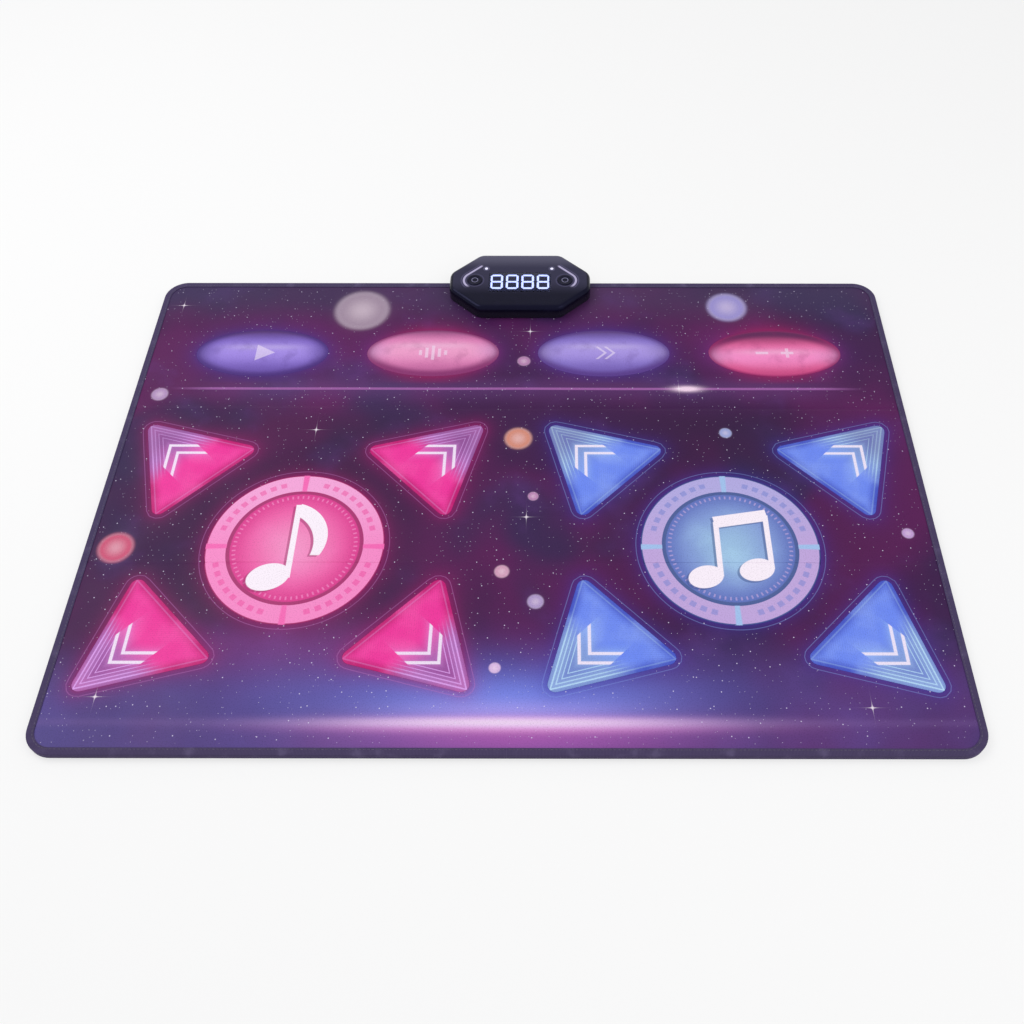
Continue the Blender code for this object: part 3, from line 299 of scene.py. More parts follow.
floor_mesh = bpy.data.meshes.new("floor")
corners = [(x * FLOOR_HALF, y * FLOOR_HALF, FLOOR_Z) for x, y in ((-1, -1), (1, -1), (1, 1), (-1, 1))]
floor_mesh.from_pydata(corners, [], [(0, 1, 2, 3)])
floor = bpy.data.objects.new("floor", floor_mesh)
scene.collection.objects.link(floor)

floor_paint = new_surface("floor_white", 0.8, Base_Color=(0.9, 0.9, 0.905, 1.0))
tree = floor_paint.node_tree
shader, output = tree.nodes["Principled BSDF"], tree.nodes["Material Output"]
white = tree.nodes.new("ShaderNodeEmission")
lit, sides = tree.nodes.new("ShaderNodeMixShader"), tree.nodes.new("ShaderNodeMixShader")
plug(seen_share(tree) * FLOOR_WHITE, lit.inputs[0])
plug(shader.outputs[0], lit.inputs[1])
plug(white.outputs[0], lit.inputs[2])
plug(tree.nodes.new("ShaderNodeNewGeometry").outputs["Backfacing"], sides.inputs[0])
plug(lit.outputs[0], sides.inputs[1])
plug(tree.nodes.new("ShaderNodeBsdfTransparent").outputs[0], sides.inputs[2])
plug(sides.outputs[0], output.inputs["Surface"])
floor_mesh.materials.append(floor_paint)
print("floor", 2 * FLOOR_HALF, "m wide")

# %% World and lamps
WORLD_LIGHT = 0.62

world = bpy.data.worlds.new("world")
world.use_nodes = True
scene.world = world
sky = world.node_tree.nodes["Background"]
sky.inputs["Color"].default_value = (1.0, 1.0, 1.0, 1.0)
plug(seen_share(world.node_tree) * (1 - WORLD_LIGHT) + WORLD_LIGHT, sky.inputs["Strength"])


def add_lamp(name, place, width, watts):
    """A square area lamp that points at the middle of the mat."""
    light = bpy.data.lights.new(name, "AREA")
    light.size, light.energy = width, watts
    lamp = bpy.data.objects.new(name, light)
    lamp.location = place
    lamp.rotation_euler = (-Vector(place)).to_track_quat("-Z", "Y").to_euler()
    scene.collection.objects.link(lamp)


add_lamp("key_lamp", place=(-1.5, 0.7, 2.3), width=1.6, watts=26)
add_lamp("fill_lamp", place=(1.7, -0.9, 1.9), width=1.8, watts=14)
print("world light", WORLD_LIGHT)

# %% [markdown]
# ## Turning arrays into pieces
#
# Every new surface below is worked out as arrays of points. Most are rings of points joined to each other,
# which suits turned, rounded and swept shapes alike. Flat sheets with holes are triangles between a grid of
# points and the cut edges, which a Delaunay triangulation joins for us.

# %% Outlines
def circle(centre, radius, steps=48):
    """Points round a circle: centre + radius * (cos a, sin a)."""
    a = np.linspace(0, 2 * np.pi, steps, endpoint=False)
    return np.asarray(centre) + radius * np.stack([np.cos(a), np.sin(a)], -1)


def round_corners(core, radius, steps=8):
    """A convex shape with round corners, anticlockwise. Each corner of its core becomes the arc
    corner + radius * (cos a, sin a), with a turning from one side's outward direction to the next's."""
    core = np.asarray(core, float)
    sides = np.roll(core, -1, axis=0) - core
    facing = np.arctan2(-sides[:, 0], sides[:, 1])
    sweep = (facing - np.roll(facing, 1)) % (2 * np.pi)
    a = np.roll(facing, 1)[:, None] + sweep[:, None] * np.linspace(0, 1, steps)
    return (core[:, None] + radius * np.stack([np.cos(a), np.sin(a)], -1)).reshape(-1, 2)


def finely(loop, step):
    """The same closed outline with points at most `step` apart, by equal parts of each side."""
    loop = np.asarray(loop, float)
    ahead = np.roll(loop, -1, axis=0)
    parts = np.maximum(np.ceil(np.linalg.norm(ahead - loop, axis=1) / step).astype(int), 1)
    owner = np.repeat(np.arange(len(loop)), parts)
    share = (np.arange(len(owner)) - np.repeat(np.cumsum(parts) - parts, parts)) / parts[owner]
    return loop[owner] + share[:, None] * (ahead[owner] - loop[owner])


def smooth_step(value, start, end):
    """The same smooth step as rise(), for arrays."""
    t = np.clip((value - start) / (end - start), 0, 1)
    return t * t * (3 - 2 * t)


print("outlines ready")

# %% Skins
def at_height(outline, z):
    """A flat outline lifted to z."""
    return np.column_stack([outline, np.broadcast_to(z, len(outline))])


def skin(rings, loop=False):
    """Points and faces of a closed skin over rings of points, an array (rings, around, 3). Each ring is
    joined to the next. A loop joins the last to the first; otherwise a middle point closes each end."""
    rings = np.asarray(rings, float)
    count, around = rings.shape[:2]
    points = rings.reshape(-1, 3)
    i, j = np.meshgrid(np.arange(count if loop else count - 1), np.arange(around), indexing="ij")
    low, high, after = i * around, (i + 1) % count * around, (j + 1) % around
    faces = np.stack([low + j, low + after, high + after, high + j], -1).reshape(-1, 4).tolist()
    if not loop:
        j, ends = np.arange(around), len(points) + np.arange(2)
        points = np.vstack([points, rings[0].mean(0), rings[-1].mean(0)])
        last = (count - 1) * around
        faces += np.stack([(j + 1) % around, j, np.full(around, ends[0])], -1).tolist()
        faces += np.stack([last + j, last + (j + 1) % around, np.full(around, ends[1])], -1).tolist()
    return points, faces


print("skins ready")

# %% Cut sheets
SLIVER_ROOM = 2.5 * MM


def nearest(points, edge):
    """How far each point is from the nearest point of an edge, a few hundred points at a time."""
    parts = np.array_split(points, max(1, len(points) // 400))
    return np.concatenate([
        np.sqrt(((part[:, None] - edge[None]) ** 2).sum(-1).min(1)) for part in parts
    ])


def cut_sheet(outline, holes, columns, rows):
    """A flat sheet as triangles: the crossings of columns and rows, joined to the outline and round the
    holes. A crossing too close to a cut edge is left out, so that no triangle is a sliver. The
    triangulation works in millimetres and numbers each triangle by the loops that it lies in."""
    loops = [outline, *holes]
    grid = np.stack(np.meshgrid(columns, rows), -1).reshape(-1, 2)
    grid = grid[nearest(grid, np.concatenate(loops)) > SLIVER_ROOM]
    starts = np.cumsum([0] + [len(loop) for loop in loops])
    faces = [list(range(a, b)) for a, b in zip(starts[:-1], starts[1:])]
    corners = [Vector(p) for p in (np.concatenate([*loops, grid]) / MM).tolist()]
    made = delaunay_2d_cdt(corners, [], faces, 0, 1e-4, True)
    inside = np.array([ids == [0] for ids in made[5]])
    flat = np.array([tuple(p) for p in made[0]]) * MM
    triangles = np.array(made[2])[inside]
    a, b, c = (flat[triangles[:, k]] for k in range(3))
    turned = np.cross(b - a, c - a) < 0
    triangles[turned] = triangles[turned][:, ::-1]
    used = np.unique(triangles)
    renumber = np.zeros(len(flat), int)
    renumber[used] = np.arange(len(used))
    return flat[used], renumber[triangles]


def thick(flat, triangles, top, bottom):
    """A closed sheet between heights top and bottom, with a wall along each side that only one
    triangle has."""
    count = len(flat)
    points = np.vstack([at_height(flat, top), at_height(flat, bottom)])
    sides = np.concatenate([triangles[:, [0, 1]], triangles[:, [1, 2]], triangles[:, [2, 0]]])
    _, index, uses = np.unique(np.sort(sides, axis=1), axis=0, return_inverse=True, return_counts=True)
    rim = sides[uses[index.ravel()] == 1]
    wall = np.column_stack([rim[:, 1], rim[:, 0], rim[:, 0] + count, rim[:, 1] + count])
    return points, triangles.tolist() + (triangles[:, ::-1] + count).tolist() + wall.tolist()


print("cut sheets ready")


# %% Copies and pieces
def joined(parts):
    """Several (points, faces) as one."""
    starts = np.cumsum([0] + [len(points) for points, _ in parts])
    faces = [[k + start for k in face] for (_, made), start in zip(parts, starts) for face in made]
    return np.vstack([points for points, _ in parts]), faces


def copies(shape, faces, places, turns):
    """One small shape at many places, each turned about the upright by its own angle."""
    c, s = np.cos(turns)[:, None], np.sin(turns)[:, None]
    x, y, z = shape.T
    spread = np.stack([c * x - s * y, s * x + c * y, np.broadcast_to(z, (len(turns), len(z)))], -1)
    points = (spread + np.asarray(places)[:, None]).reshape(-1, 3)
    starts = np.arange(len(turns)) * len(shape)
    made = [(np.array(face)[None] + starts[:, None]).tolist() for face in faces]
    return points, [face for group in made for face in group]


def new_piece(name, made, material, smooth=38):
    """An object from (points, faces), its faces turned outwards and its edges sharp past an angle."""
    points, faces = made
    mesh = bpy.data.meshes.new(name)
    mesh.from_pydata(points.tolist(), [], faces)
    work = bmesh.new()
    work.from_mesh(mesh)
    bmesh.ops.recalc_face_normals(work, faces=work.faces)
    work.to_mesh(mesh)
    work.free()
    mesh.materials.append(material)
    mesh.shade_smooth()
    mesh.set_sharp_from_angle(angle=math.radians(smooth))
    piece = bpy.data.objects.new(name, mesh)
    scene.collection.objects.link(piece)
    print(f"{name}: {len(points)} points, {len(faces)} faces")
    return piece


def mark(piece, name, values):
    """Stores a number or a vector for each point of a piece."""
    kind, key = ("FLOAT", "value") if values.ndim == 1 else ("FLOAT_VECTOR", "vector")
    attribute = piece.data.attributes.new(name, kind, "POINT")
    attribute.data.foreach_set(key, values.astype(np.float32).ravel())


print("copies and pieces ready")

# %% [markdown]
# ## The sizes of the mat
#
# These repeat the CAD model's main sizes. The mat folds in three at two creases. Each long soft piece is
# made in a back half and a front half that meet in the middle panel, because a piece can bend across one
# crease only. Near a crease the outer skin of the fold needs a wide bend and the inner skin a narrow one:
# the back half's top is outside its fold, and the front half's top is inside it. The foam's openings are
# cut with straight sides, 32 to an oval and 3 to a pad's corner. The smooth pads here are drawn just inside
# those sides, so that a pad which is pressed down slides past the foam.

# %% Sizes
HALF_WIDTH, BACK_Y, FRONT_Y = 649.98 * MM, 433.99 * MM, -485.99 * MM
REAR_CREASE, FRONT_CREASE, JOIN_Y = 126.991 * MM, -179.676 * MM, -26.34 * MM
CORNER_RADIUS, EDGE_INSET = 38.0 * MM, 1.2 * MM
TOP_Z, SHEET_T, LIP_Z, MAT_TOP = 10.2 * MM, 1.0 * MM, 10.5 * MM, 11.3 * MM
WIDE_BEND, NARROW_BEND = 14.0 * MM, 3.8 * MM
PLAYER_X, PLAYER_Y = 330.99 * MM, -151.3 * MM
ARROW_DX, ARROW_DY, ARROW_SIDE, ARROW_ROUND = 198 * MM, 163 * MM, 205 * MM, 11.5 * MM
ROUND_RADIUS = 136 * MM
MENU_X, MENU_Y = np.array([-447.98, -149.33, 149.33, 447.98]) * MM, 255.99 * MM
OVAL_SIDES = 32
MENU_HALF = np.array([116.0, 56.0]) * MM * math.cos(math.pi / OVAL_SIDES)
BOX_Y, BOX_HALF = 413.99 * MM, np.array([128.0, 72.0]) * MM
BOX_CHAMFER, BOX_ROUND = np.array([54.0, 50.0]) * MM, 22 * MM
PLINTH_NOTCH = 7.6 * MM
HALVES = {
    "back": {
        "edge": BACK_Y, "way": 1, "bodies": ("rear_panel", "middle_panel"), "crease": REAR_CREASE,
        "top": WIDE_BEND, "low": NARROW_BEND,
    },
    "front": {
        "edge": FRONT_Y, "way": -1, "bodies": ("middle_panel", "front_panel"), "crease": FRONT_CREASE,
        "top": NARROW_BEND, "low": WIDE_BEND,
    },
}


def bend(piece, half, level):
    """Bakes a piece's place into its points; the crease and bend width it looks up are not used."""
    row = HALVES[half]
    crease, width = row["crease"], row[level]
    crease + width
    crease - width
    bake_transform(piece)


print("mat", 2 * HALF_WIDTH, "by", BACK_Y - FRONT_Y)


# %% Outlines of the box and of the mat's halves
def slanted_reach(inset):
    """The box's slanted side moved in by inset is the line x * cy + y * cx = reach; this is reach."""
    (w, d), (cx, cy) = BOX_HALF, BOX_CHAMFER
    return w * cy + (d - cy) * cx - inset * math.hypot(cx, cy)


def box_shape(inset):
    """The control box's long octagon, moved inwards by inset. Its core is the octagon moved in by the
    corner radius, and the core's corners lie where its slanted sides cross its straight ones."""
    (cx, cy), reach = BOX_CHAMFER, slanted_reach(BOX_ROUND)
    a, b = BOX_HALF - BOX_ROUND
    y, x = (reach - a * cy) / cx, (reach - b * cx) / cy
    core = np.array([(a, -y), (a, y), (x, b), (-x, b), (-a, y), (-a, -y), (-x, -b), (x, -b)])
    return round_corners(core + (0, BOX_Y), BOX_ROUND - inset)


def half_outline(half, inset):
    """One half of the mat, anticlockwise: straight along the join, with two round corners beyond."""
    edge, way, x = HALVES[half]["edge"], HALVES[half]["way"], HALF_WIDTH - inset
    a = np.linspace(0, np.pi / 2, 10)
    corner = np.stack([np.cos(a), way * np.sin(a)], -1) * (CORNER_RADIUS - inset)
    corner = corner + (HALF_WIDTH - CORNER_RADIUS, edge - way * CORNER_RADIUS)
    right = np.vstack([[(x, JOIN_Y)], corner])
    loop = np.vstack([right, right[::-1] * (-1, 1)])
    return loop if way > 0 else loop[::-1]


print("the box is", 2 * BOX_HALF, "and its plinth is", PLINTH_NOTCH, "further in")

# %% [markdown]
# ## Where the pads are
#
# Each player has four three-cornered pads round one round pad, and four long ovals lie along the back. A
# pad's outline is needed twice: for the opening in the printed sheet and for the pad itself.

# %% Pads
def arrow_shape(centre, heading, inset=0.0):
    """An equal-sided triangle with round corners and its tip along heading."""
    reach = ARROW_SIDE / math.sqrt(3) - 2 * ARROW_ROUND
    a = heading + np.array([0, 2, 4]) * np.pi / 3
    core = np.asarray(centre) + reach * np.stack([np.cos(a), np.sin(a)], -1)
    return round_corners(core, ARROW_ROUND - inset, 7)


def oval_shape(centre, inset=0.0):
    """An ellipse: centre + (half length * cos a, half depth * sin a)."""
    return np.asarray(centre) + circle((0, 0), 1.0, 72) * (MENU_HALF - inset)


arrows = [
    {
        "name": f"{player}_arrow_pad_{row}_{column}", "player": player, "heading": math.atan2(sy, sx),
        "centre": (side * PLAYER_X + sx * ARROW_DX, PLAYER_Y + sy * ARROW_DY),
    }
    for player, side in (("left", -1), ("right", 1))
    for row, sy in (("back", 1), ("front", -1))
    for column, sx in (("left", -1), ("right", 1))
]
discs = {"left": (-PLAYER_X, PLAYER_Y), "right": (PLAYER_X, PLAYER_Y)}
ovals = [(x, MENU_Y) for x in MENU_X]
openings = [arrow_shape(pad["centre"], pad["heading"]) for pad in arrows]
openings += [circle(centre, ROUND_RADIUS, 120) for centre in discs.values()] + [oval_shape(c) for c in ovals]
print(len(openings), "openings")

# %% [markdown]
# ## The printed sheet's finish
#
# The sheet is satin vinyl cloth with a dark violet print: clouds of plum and indigo, fine stars, soft
# bubbles of light, a thin line between the menu row and the players, and a glow along the front edge. Each
# is one formula of the flat place. The distance to the nearest pad is stored in the mesh, so the glow and
# the thin line round each pad follow its shape exactly.

# %% Vinyl cloth
VINYL_PITCH = 1.6 * MM


def wave(field, pitch):
    """A sine wave that repeats at each pitch."""
    return calculate("SINE", field * (2 * math.pi / pitch))


def vinyl(material, place, paint, rough=0.44):
    """Finishes a printed vinyl cloth: its fine plain weave, a little unevenness, and worn, duller spots."""
    weave = wave(place.x, VINYL_PITCH) * wave(place.y, VINYL_PITCH)
    height = weave * 0.35 + place.noise(260.0, 2.0)
    paint.over("#000000", rise(place.noise(520.0, 1.0), 0.45, 0.75) * 0.16)
    worn = rise(place.noise(7.0, 4.0), 0.3, 0.75) * 0.16 + (rough - 0.08)
    return apply_paint(material, paint, worn, height, depth=0.05 * MM)


print("vinyl ready")

# %% Places in the print
PRINT_Y = (BACK_Y + FRONT_Y) / 2
PLAYERS_END, LINE_Y, GLOW_Y = 0.166, 0.1975, -0.4125
BUBBLES = (
    (-0.285, 0.388, 0.052, "#a08aa0"), (0.375, 0.397, 0.038, "#9a92dc"), (0.004, 0.088, 0.024, "#e08a6c"),
    (-0.603, -0.128, 0.029, "#d8386a"), (0.036, -0.222, 0.013, "#b29ad4"), (-0.606, 0.184, 0.015, "#b48ec4"),
    (0.01, 0.262, 0.012, "#b878b2"), (0.345, 0.1, 0.011, "#98a8e4"), (-0.015, -0.17, 0.012, "#dca0c0"),
    (0.606, -0.1, 0.010, "#c8a0e0"), (0.03, -0.03, 0.009, "#c080b8"), (-0.02, -0.33, 0.009, "#e6c0ee"),
)
SPARKLES = (
    (0.275, 0.198), (-0.33, 0.106), (0.02, -0.07), (-0.57, -0.375), (0.5, -0.39), (0.02, 0.335), (-0.61, 0.4),
)
print(len(BUBBLES), "bubbles and", len(SPARKLES), "sparkles")


# %% Clouds and the front glow
def lay_clouds(paint, place, x, y):
    """Plum, indigo and violet clouds, a paler back edge, darker players' fields and a blue haze in front."""
    clouds, wisps = place.noise(2.7, 3.0), place.noise(8.0, 6.0)
    paint.over("#5d1c58", rise(clouds, 0.42, 0.62) * 0.9)
    paint.over("#2e2650", rise(place.noise(3.9, 2.0), 0.5, 0.68) * 0.8)
    paint.over("#6b3f8e", rise(wisps, 0.52, 0.8) * 0.45)
    paint.over("#43365a", rise(y, 0.34, 0.43) * 0.55)
    players = rise(y, PLAYERS_END, PLAYERS_END - 0.05) * rise(y, -0.3, -0.24)
    paint.over("#2a1230", players * bell(abs(x), 0.33, 0.24) * 0.4)
    haze = rise(y, -0.27, -0.38) * (rise(wisps, 0.2, 0.7) * 0.3 + 0.55) * (rise(x, 0.42, -0.05) * 0.4 + 0.5)
    paint.over("#584f98", haze)


def lay_front_glow(paint, x, y):
    """A glow along the front edge: blue behind, then a bright pink line with a pale core."""
    paint.over("#8a3f8e", bell(y, -0.3, 0.05) * bell(x, -0.33, 0.16) * 0.45)
    paint.over("#5b54b0", bell(y, -0.36, 0.06) * bell(x, -0.02, 0.3) * 0.7)
    paint.over("#7886e8", bell(y, -0.378, 0.036) * bell(x, 0.005, 0.2) * 0.95)
    paint.over("#a6a2f8", bell(y, -0.396, 0.016) * bell(x, 0.0, 0.15) * 0.8)
    line_x = bell(x, 0.015, 0.225)
    paint.over("#a659ae", bell(y, -0.434, 0.028) * line_x * 0.95)
    paint.over("#d685c8", bell(y, -0.4205, 0.0085) * line_x * 0.85)
    paint.over("#ecb6fa", bell(y, GLOW_Y, 0.009) * line_x * 0.9)
    paint.over("#fde2ff", bell(y, GLOW_Y, 0.0062) * bell(x, 0.003, 0.185))
    paint.over("#8c6cae", bell(y, GLOW_Y, 0.006) * 0.15)


def lay_thin_line(paint, x, y):
    """A thin bright line between the menu row and the players, with one white glint on it."""
    soft = rise(y, 0.155, 0.2) * rise(y, 0.235, 0.2)
    paint.over("#7a4d94", soft * rise(abs(x), 0.6, 0.45) * 0.25)
    paint.over("#a565ac", stripe(y, LINE_Y, 0.0032) * rise(abs(x), 0.6, 0.5) * 0.8)
    glint = bell(x, 0.289, 0.022) * bell(y, LINE_Y, 0.006)
    paint.over("#f6d8f0", calculate("MINIMUM", glint * 1.4, 1.0))


print("clouds and glow ready")


# %% Glows round the pads, stars and bubbles
def lay_pad_glows(paint, x, y, gap):
    """A glow and a thin rim round each pad: pink on the left, blue on the right, by turns in the menu row."""
    by_players = rise(y, PLAYERS_END, PLAYERS_END - 0.03)
    near, right = fade(gap, 0.011) * by_players, rise(x, -0.02, 0.02)
    paint.over("#a0156c", near * (1 - right) * 0.55)
    paint.over("#4038a8", near * right * 0.5)
    rosy = calculate("MAXIMUM", bell(x, -0.149, 0.11), bell(x, 0.448, 0.11))
    menu_glow = fade(gap, 0.014) * rise(y, 0.206, 0.216)
    paint.over("#4a2f88", menu_glow * (1 - rosy) * 0.6)
    paint.over("#9c1c60", menu_glow * rosy * 0.7)
    rim = stripe(gap, 0.0075, 0.0008) * by_players
    paint.over("#c87cc8", rim * (1 - right) * 0.3)
    paint.over("#8fa6f0", rim * right * 0.3)


def lay_stars(paint, place, x, y):
    """Two sizes of scattered stars, soft bubbles of light, and sparkles with four thin arms, which lie
    where the product of the distances along x and y is small."""
    for scale, size, chance in ((46.0, 0.055, 0.62), (120.0, 0.075, 0.66)):
        off, luck = place.cells(scale)
        paint.over("#e6defa", rise(off, size, size * 0.35) * rise(luck, chance, chance + 0.12) * 0.8)
    for cx, cy, radius, code in BUBBLES:
        off = distance(x - cx, y - cy) * (1 / radius)
        paint.over(code, rise(off, 1.08, 0.72) * 0.85)
        paint.over("#fdeaf6", bell(off, 0.0, 0.55) * 0.35)
        paint.over("#f6e6f4", bell(off, 0.86, 0.1) * 0.14)
    for cx, cy in SPARKLES:
        dx, dy = abs(x - cx), abs(y - cy)
        paint.over("#fbeefc", rise(dx * dy, 4e-6, 0.0) * fade(dx + dy, 0.009))


def print_sheet():
    """The whole print, from the ground colour up. Places are metres from the middle of the mat."""
    material = new_surface("printed_sheet", 0.46, Specular_IOR_Level=0.12)
    place = Place(material, "laid")
    x, y = place.x, place.y - PRINT_Y
    gap_node = material.node_tree.nodes.new("ShaderNodeAttribute")
    gap_node.attribute_name = "pad_gap"
    paint = Paint(material, "#3f1a4a")
    lay_clouds(paint, place, x, y)
    lay_front_glow(paint, x, y)
    lay_thin_line(paint, x, y)
    lay_pad_glows(paint, x, y, Field(gap_node.outputs["Fac"]))
    lay_stars(paint, place, x, y)
    return vinyl(material, place, paint)


sheet_print = print_sheet()
print("sheet print:", len(sheet_print.node_tree.nodes), "nodes")

# %% [markdown]
# ## The printed sheet
#
# The real sheet lies almost flat on its foam, with slow waves under a millimetre high and a pressed groove
# where the mat folds. It could be a flat plane with a bump, but then its edges and folds would look like
# card. Here each half is a grid of points with the openings cut out, and the waves lift the points.

# %% How the sheet lies
WAVE_HIGH, WAVE_ROOM, GROOVE_WIDTH, SHEET_GROOVE = 0.7 * MM, 30 * MM, 3 * MM, 0.6 * MM


def groove(y, crease):
    """How deep a crease's pressed groove is, from 0 to 1: exp(-(distance / 3 mm) squared)."""
    return np.exp(-((y - crease) / GROOVE_WIDTH) ** 2)


def lie(flat, clear):
    """The sheet's height above its flat place: the sum of three crossing waves, 190 to 260 mm long, scaled
    to lie between 0 and 0.7 mm and dying out over the last 30 mm before a cut edge, less the grooves."""
    x, y = flat.T
    waves = np.sin(23 * x + 9 * y) + np.sin(31 * y - 12 * x + 2) + np.sin(17 * (x + y) + 4)
    high = WAVE_HIGH * (0.5 + waves / 6) * smooth_step(clear, 0, WAVE_ROOM)
    return high - SHEET_GROOVE * (groove(y, REAR_CREASE) + groove(y, FRONT_CREASE))


def lines_across(low, high, pitch):
    """Even rows from low to high, with close rows where a crease lies between them."""
    fine = [c + np.arange(-16, 17, 2) * MM for c in (REAR_CREASE, FRONT_CREASE)]
    rows = np.concatenate([np.arange(low + pitch / 2, high, pitch), *fine])
    rows = np.unique(np.round(rows, 4))
    return rows[(rows > low) & (rows < high)]


def sheet_grid(half, holes, pitch):
    """One half of a mat-wide sheet, with holes: its flat points, its triangles and its outer edge, which is
    the part of its outline that is off the join."""
    outline = finely(half_outline(half, EDGE_INSET), step=6 * MM)
    low, high = sorted((JOIN_Y, HALVES[half]["edge"]))
    columns = np.arange(-HALF_WIDTH + pitch / 2, HALF_WIDTH, pitch)
    flat, triangles = cut_sheet(outline, holes, columns, lines_across(low, high, pitch))
    return flat, triangles, outline[abs(outline[:, 1] - JOIN_Y) > MM]


print("waves up to", WAVE_HIGH, "m and grooves of", SHEET_GROOVE, "m")

# %% Printed sheet
PRINTED_PITCH = 9 * MM

notch = finely(box_shape(PLINTH_NOTCH), step=4 * MM)
cut_edges = [finely(loop, step=3 * MM) for loop in openings]
printed_sheets = {}
for half, row in HALVES.items():
    holes = [loop for loop in cut_edges if (row["way"] * (loop[:, 1] - JOIN_Y) > 0).any()]
    flat, triangles, edge = sheet_grid(half, holes + [notch] * (half == "back"), PRINTED_PITCH)
    top = TOP_Z + lie(flat, nearest(flat, np.concatenate([edge, *holes, notch])))
    made = thick(flat, triangles, top, top - SHEET_T)
    piece = new_piece(f"printed_sheet_{half}", made, sheet_print)
    mark(piece, "laid", np.tile(at_height(flat, 0.0), (2, 1)))
    mark(piece, "pad_gap", np.tile(nearest(flat, np.concatenate(cut_edges)), 2))
    bend(piece, half, "top")
    printed_sheets[half] = (piece, flat, triangles)
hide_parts("top_sheet_rear", "top_sheet_middle")
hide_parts("top_sheet_front")

# %% [markdown]
# ## The sewn edge
#
# A dark violet tape is folded round the mat's edge and sewn down near its inner side. Its section is carried
# along the edge: down the side, round the corner and along to the middle or to the control box. The top of
# the tape and its bottom strip are separate, because a fold stretches one and squeezes the other. The
# bottom strip runs on under the box. A bevelled curve could be the tape, but the ribs of its weave need the
# distance along the edge, which comes with the arrays.

# %% Tape finish
RIB_PITCH = 1.9 * MM

tape_cloth = new_surface("woven_tape", 0.75, Specular_IOR_Level=0.1)
place = Place(tape_cloth, "along")
paint = Paint(tape_cloth, "#43395a")
ribs = wave(place.x, RIB_PITCH)
paint.over("#564b6e", rise(ribs, -0.2, 1.0) * 0.6)
paint.over("#6b6085", rise(place.noise(40.0, 4.0), 0.5, 0.8) * 0.5)
rough, height = place.noise(90.0, 2.0) * 0.2 + 0.6, ribs + place.noise(700.0, 1.0)
apply_paint(tape_cloth, paint, rough, height, depth=0.08 * MM)
print("tape finish ready")


# %% The rail that the tape follows
def notch_x(inset):
    """Where the control box's plinth ends at this inset from the back edge."""
    (cx, cy), y = BOX_CHAMFER, BACK_Y - inset - BOX_Y
    return np.minimum(BOX_HALF[0] - PLINTH_NOTCH, (slanted_reach(PLINTH_NOTCH) - y * cx) / cy)


def half_rail(insets, half, last_x):
    """The edge from the join, round one corner and along to last_x, at these insets: (x, y) for each
    step and inset. The corner is a quarter turn of radius CORNER_RADIUS - inset."""
    edge, way, insets = HALVES[half]["edge"], HALVES[half]["way"], np.asarray(insets, float)
    middle = np.array([HALF_WIDTH - CORNER_RADIUS, edge - way * CORNER_RADIUS])
    y = lines_across(*sorted((JOIN_Y, middle[1])), pitch=12 * MM)
    y = np.concatenate([[JOIN_Y], y[::way], [middle[1]]])
    side = np.stack(np.broadcast_arrays(HALF_WIDTH - insets, y[:, None]), -1)
    a = np.linspace(0, np.pi / 2, 14)[1:]
    arc = np.stack([np.cos(a), way * np.sin(a)], -1)
    turn = middle + (CORNER_RADIUS - insets)[None, :, None] * arc[:, None]
    share = np.linspace(0, 1, 52)[1:, None]
    x = middle[0] + share * (np.broadcast_to(last_x, len(insets)) - middle[0])
    end = np.stack(np.broadcast_arrays(x, edge - way * insets), -1)
    return np.concatenate([side, turn, end])


print("the tape ends", round(float(notch_x(0.0)), 4), "m from the middle, at the box")


# %% A section carried along the rail
def swept(section, half, last_x):
    """A section of (inset, height) carried along both sides of one half. Also gives, for each point,
    how far along the edge and how far round the section it lies."""
    insets, heights = np.asarray(section).T
    rail = half_rail(insets, half, last_x)
    steps = np.linalg.norm(np.diff(rail[:, 0], axis=0), axis=1)
    along = np.broadcast_to(np.concatenate([[0], np.cumsum(steps)])[:, None], rail.shape[:2])
    around = np.linalg.norm(np.diff(np.asarray(section), axis=0), axis=1).cumsum()
    around = np.broadcast_to(np.concatenate([[0], around]), rail.shape[:2])
    rings = np.concatenate([rail, np.broadcast_to(heights, rail.shape[:2])[..., None]], -1)
    marks = np.stack([along, around, np.zeros_like(along)], -1).reshape(-1, 3)
    marks = np.vstack([marks, marks[:1], marks[-1:]])
    parts = [skin(rings * (side, 1, 1)) for side in (1, -1)]
    return joined(parts), np.tile(marks, (2, 1))


def arc_points(centre, radius, start, end):
    """Five points on an arc, for a section's rounded edge: centre + radius * (cos a, sin a)."""
    a = np.radians(np.linspace(start, end, 5))
    return [(centre[0] + radius * math.cos(t), centre[1] + radius * math.sin(t)) for t in a]


print("sections can be carried along the rail")

# %% Tape
TAPE_WALL, TAPE_ROUND, LIP_IN, LIP_ROUND = 0.9 * MM, 1.0 * MM, 10.6 * MM, 0.4 * MM
STRIP_IN, STRIP_ROUND, STRIP_T = 12 * MM, 0.2 * MM, 0.6 * MM

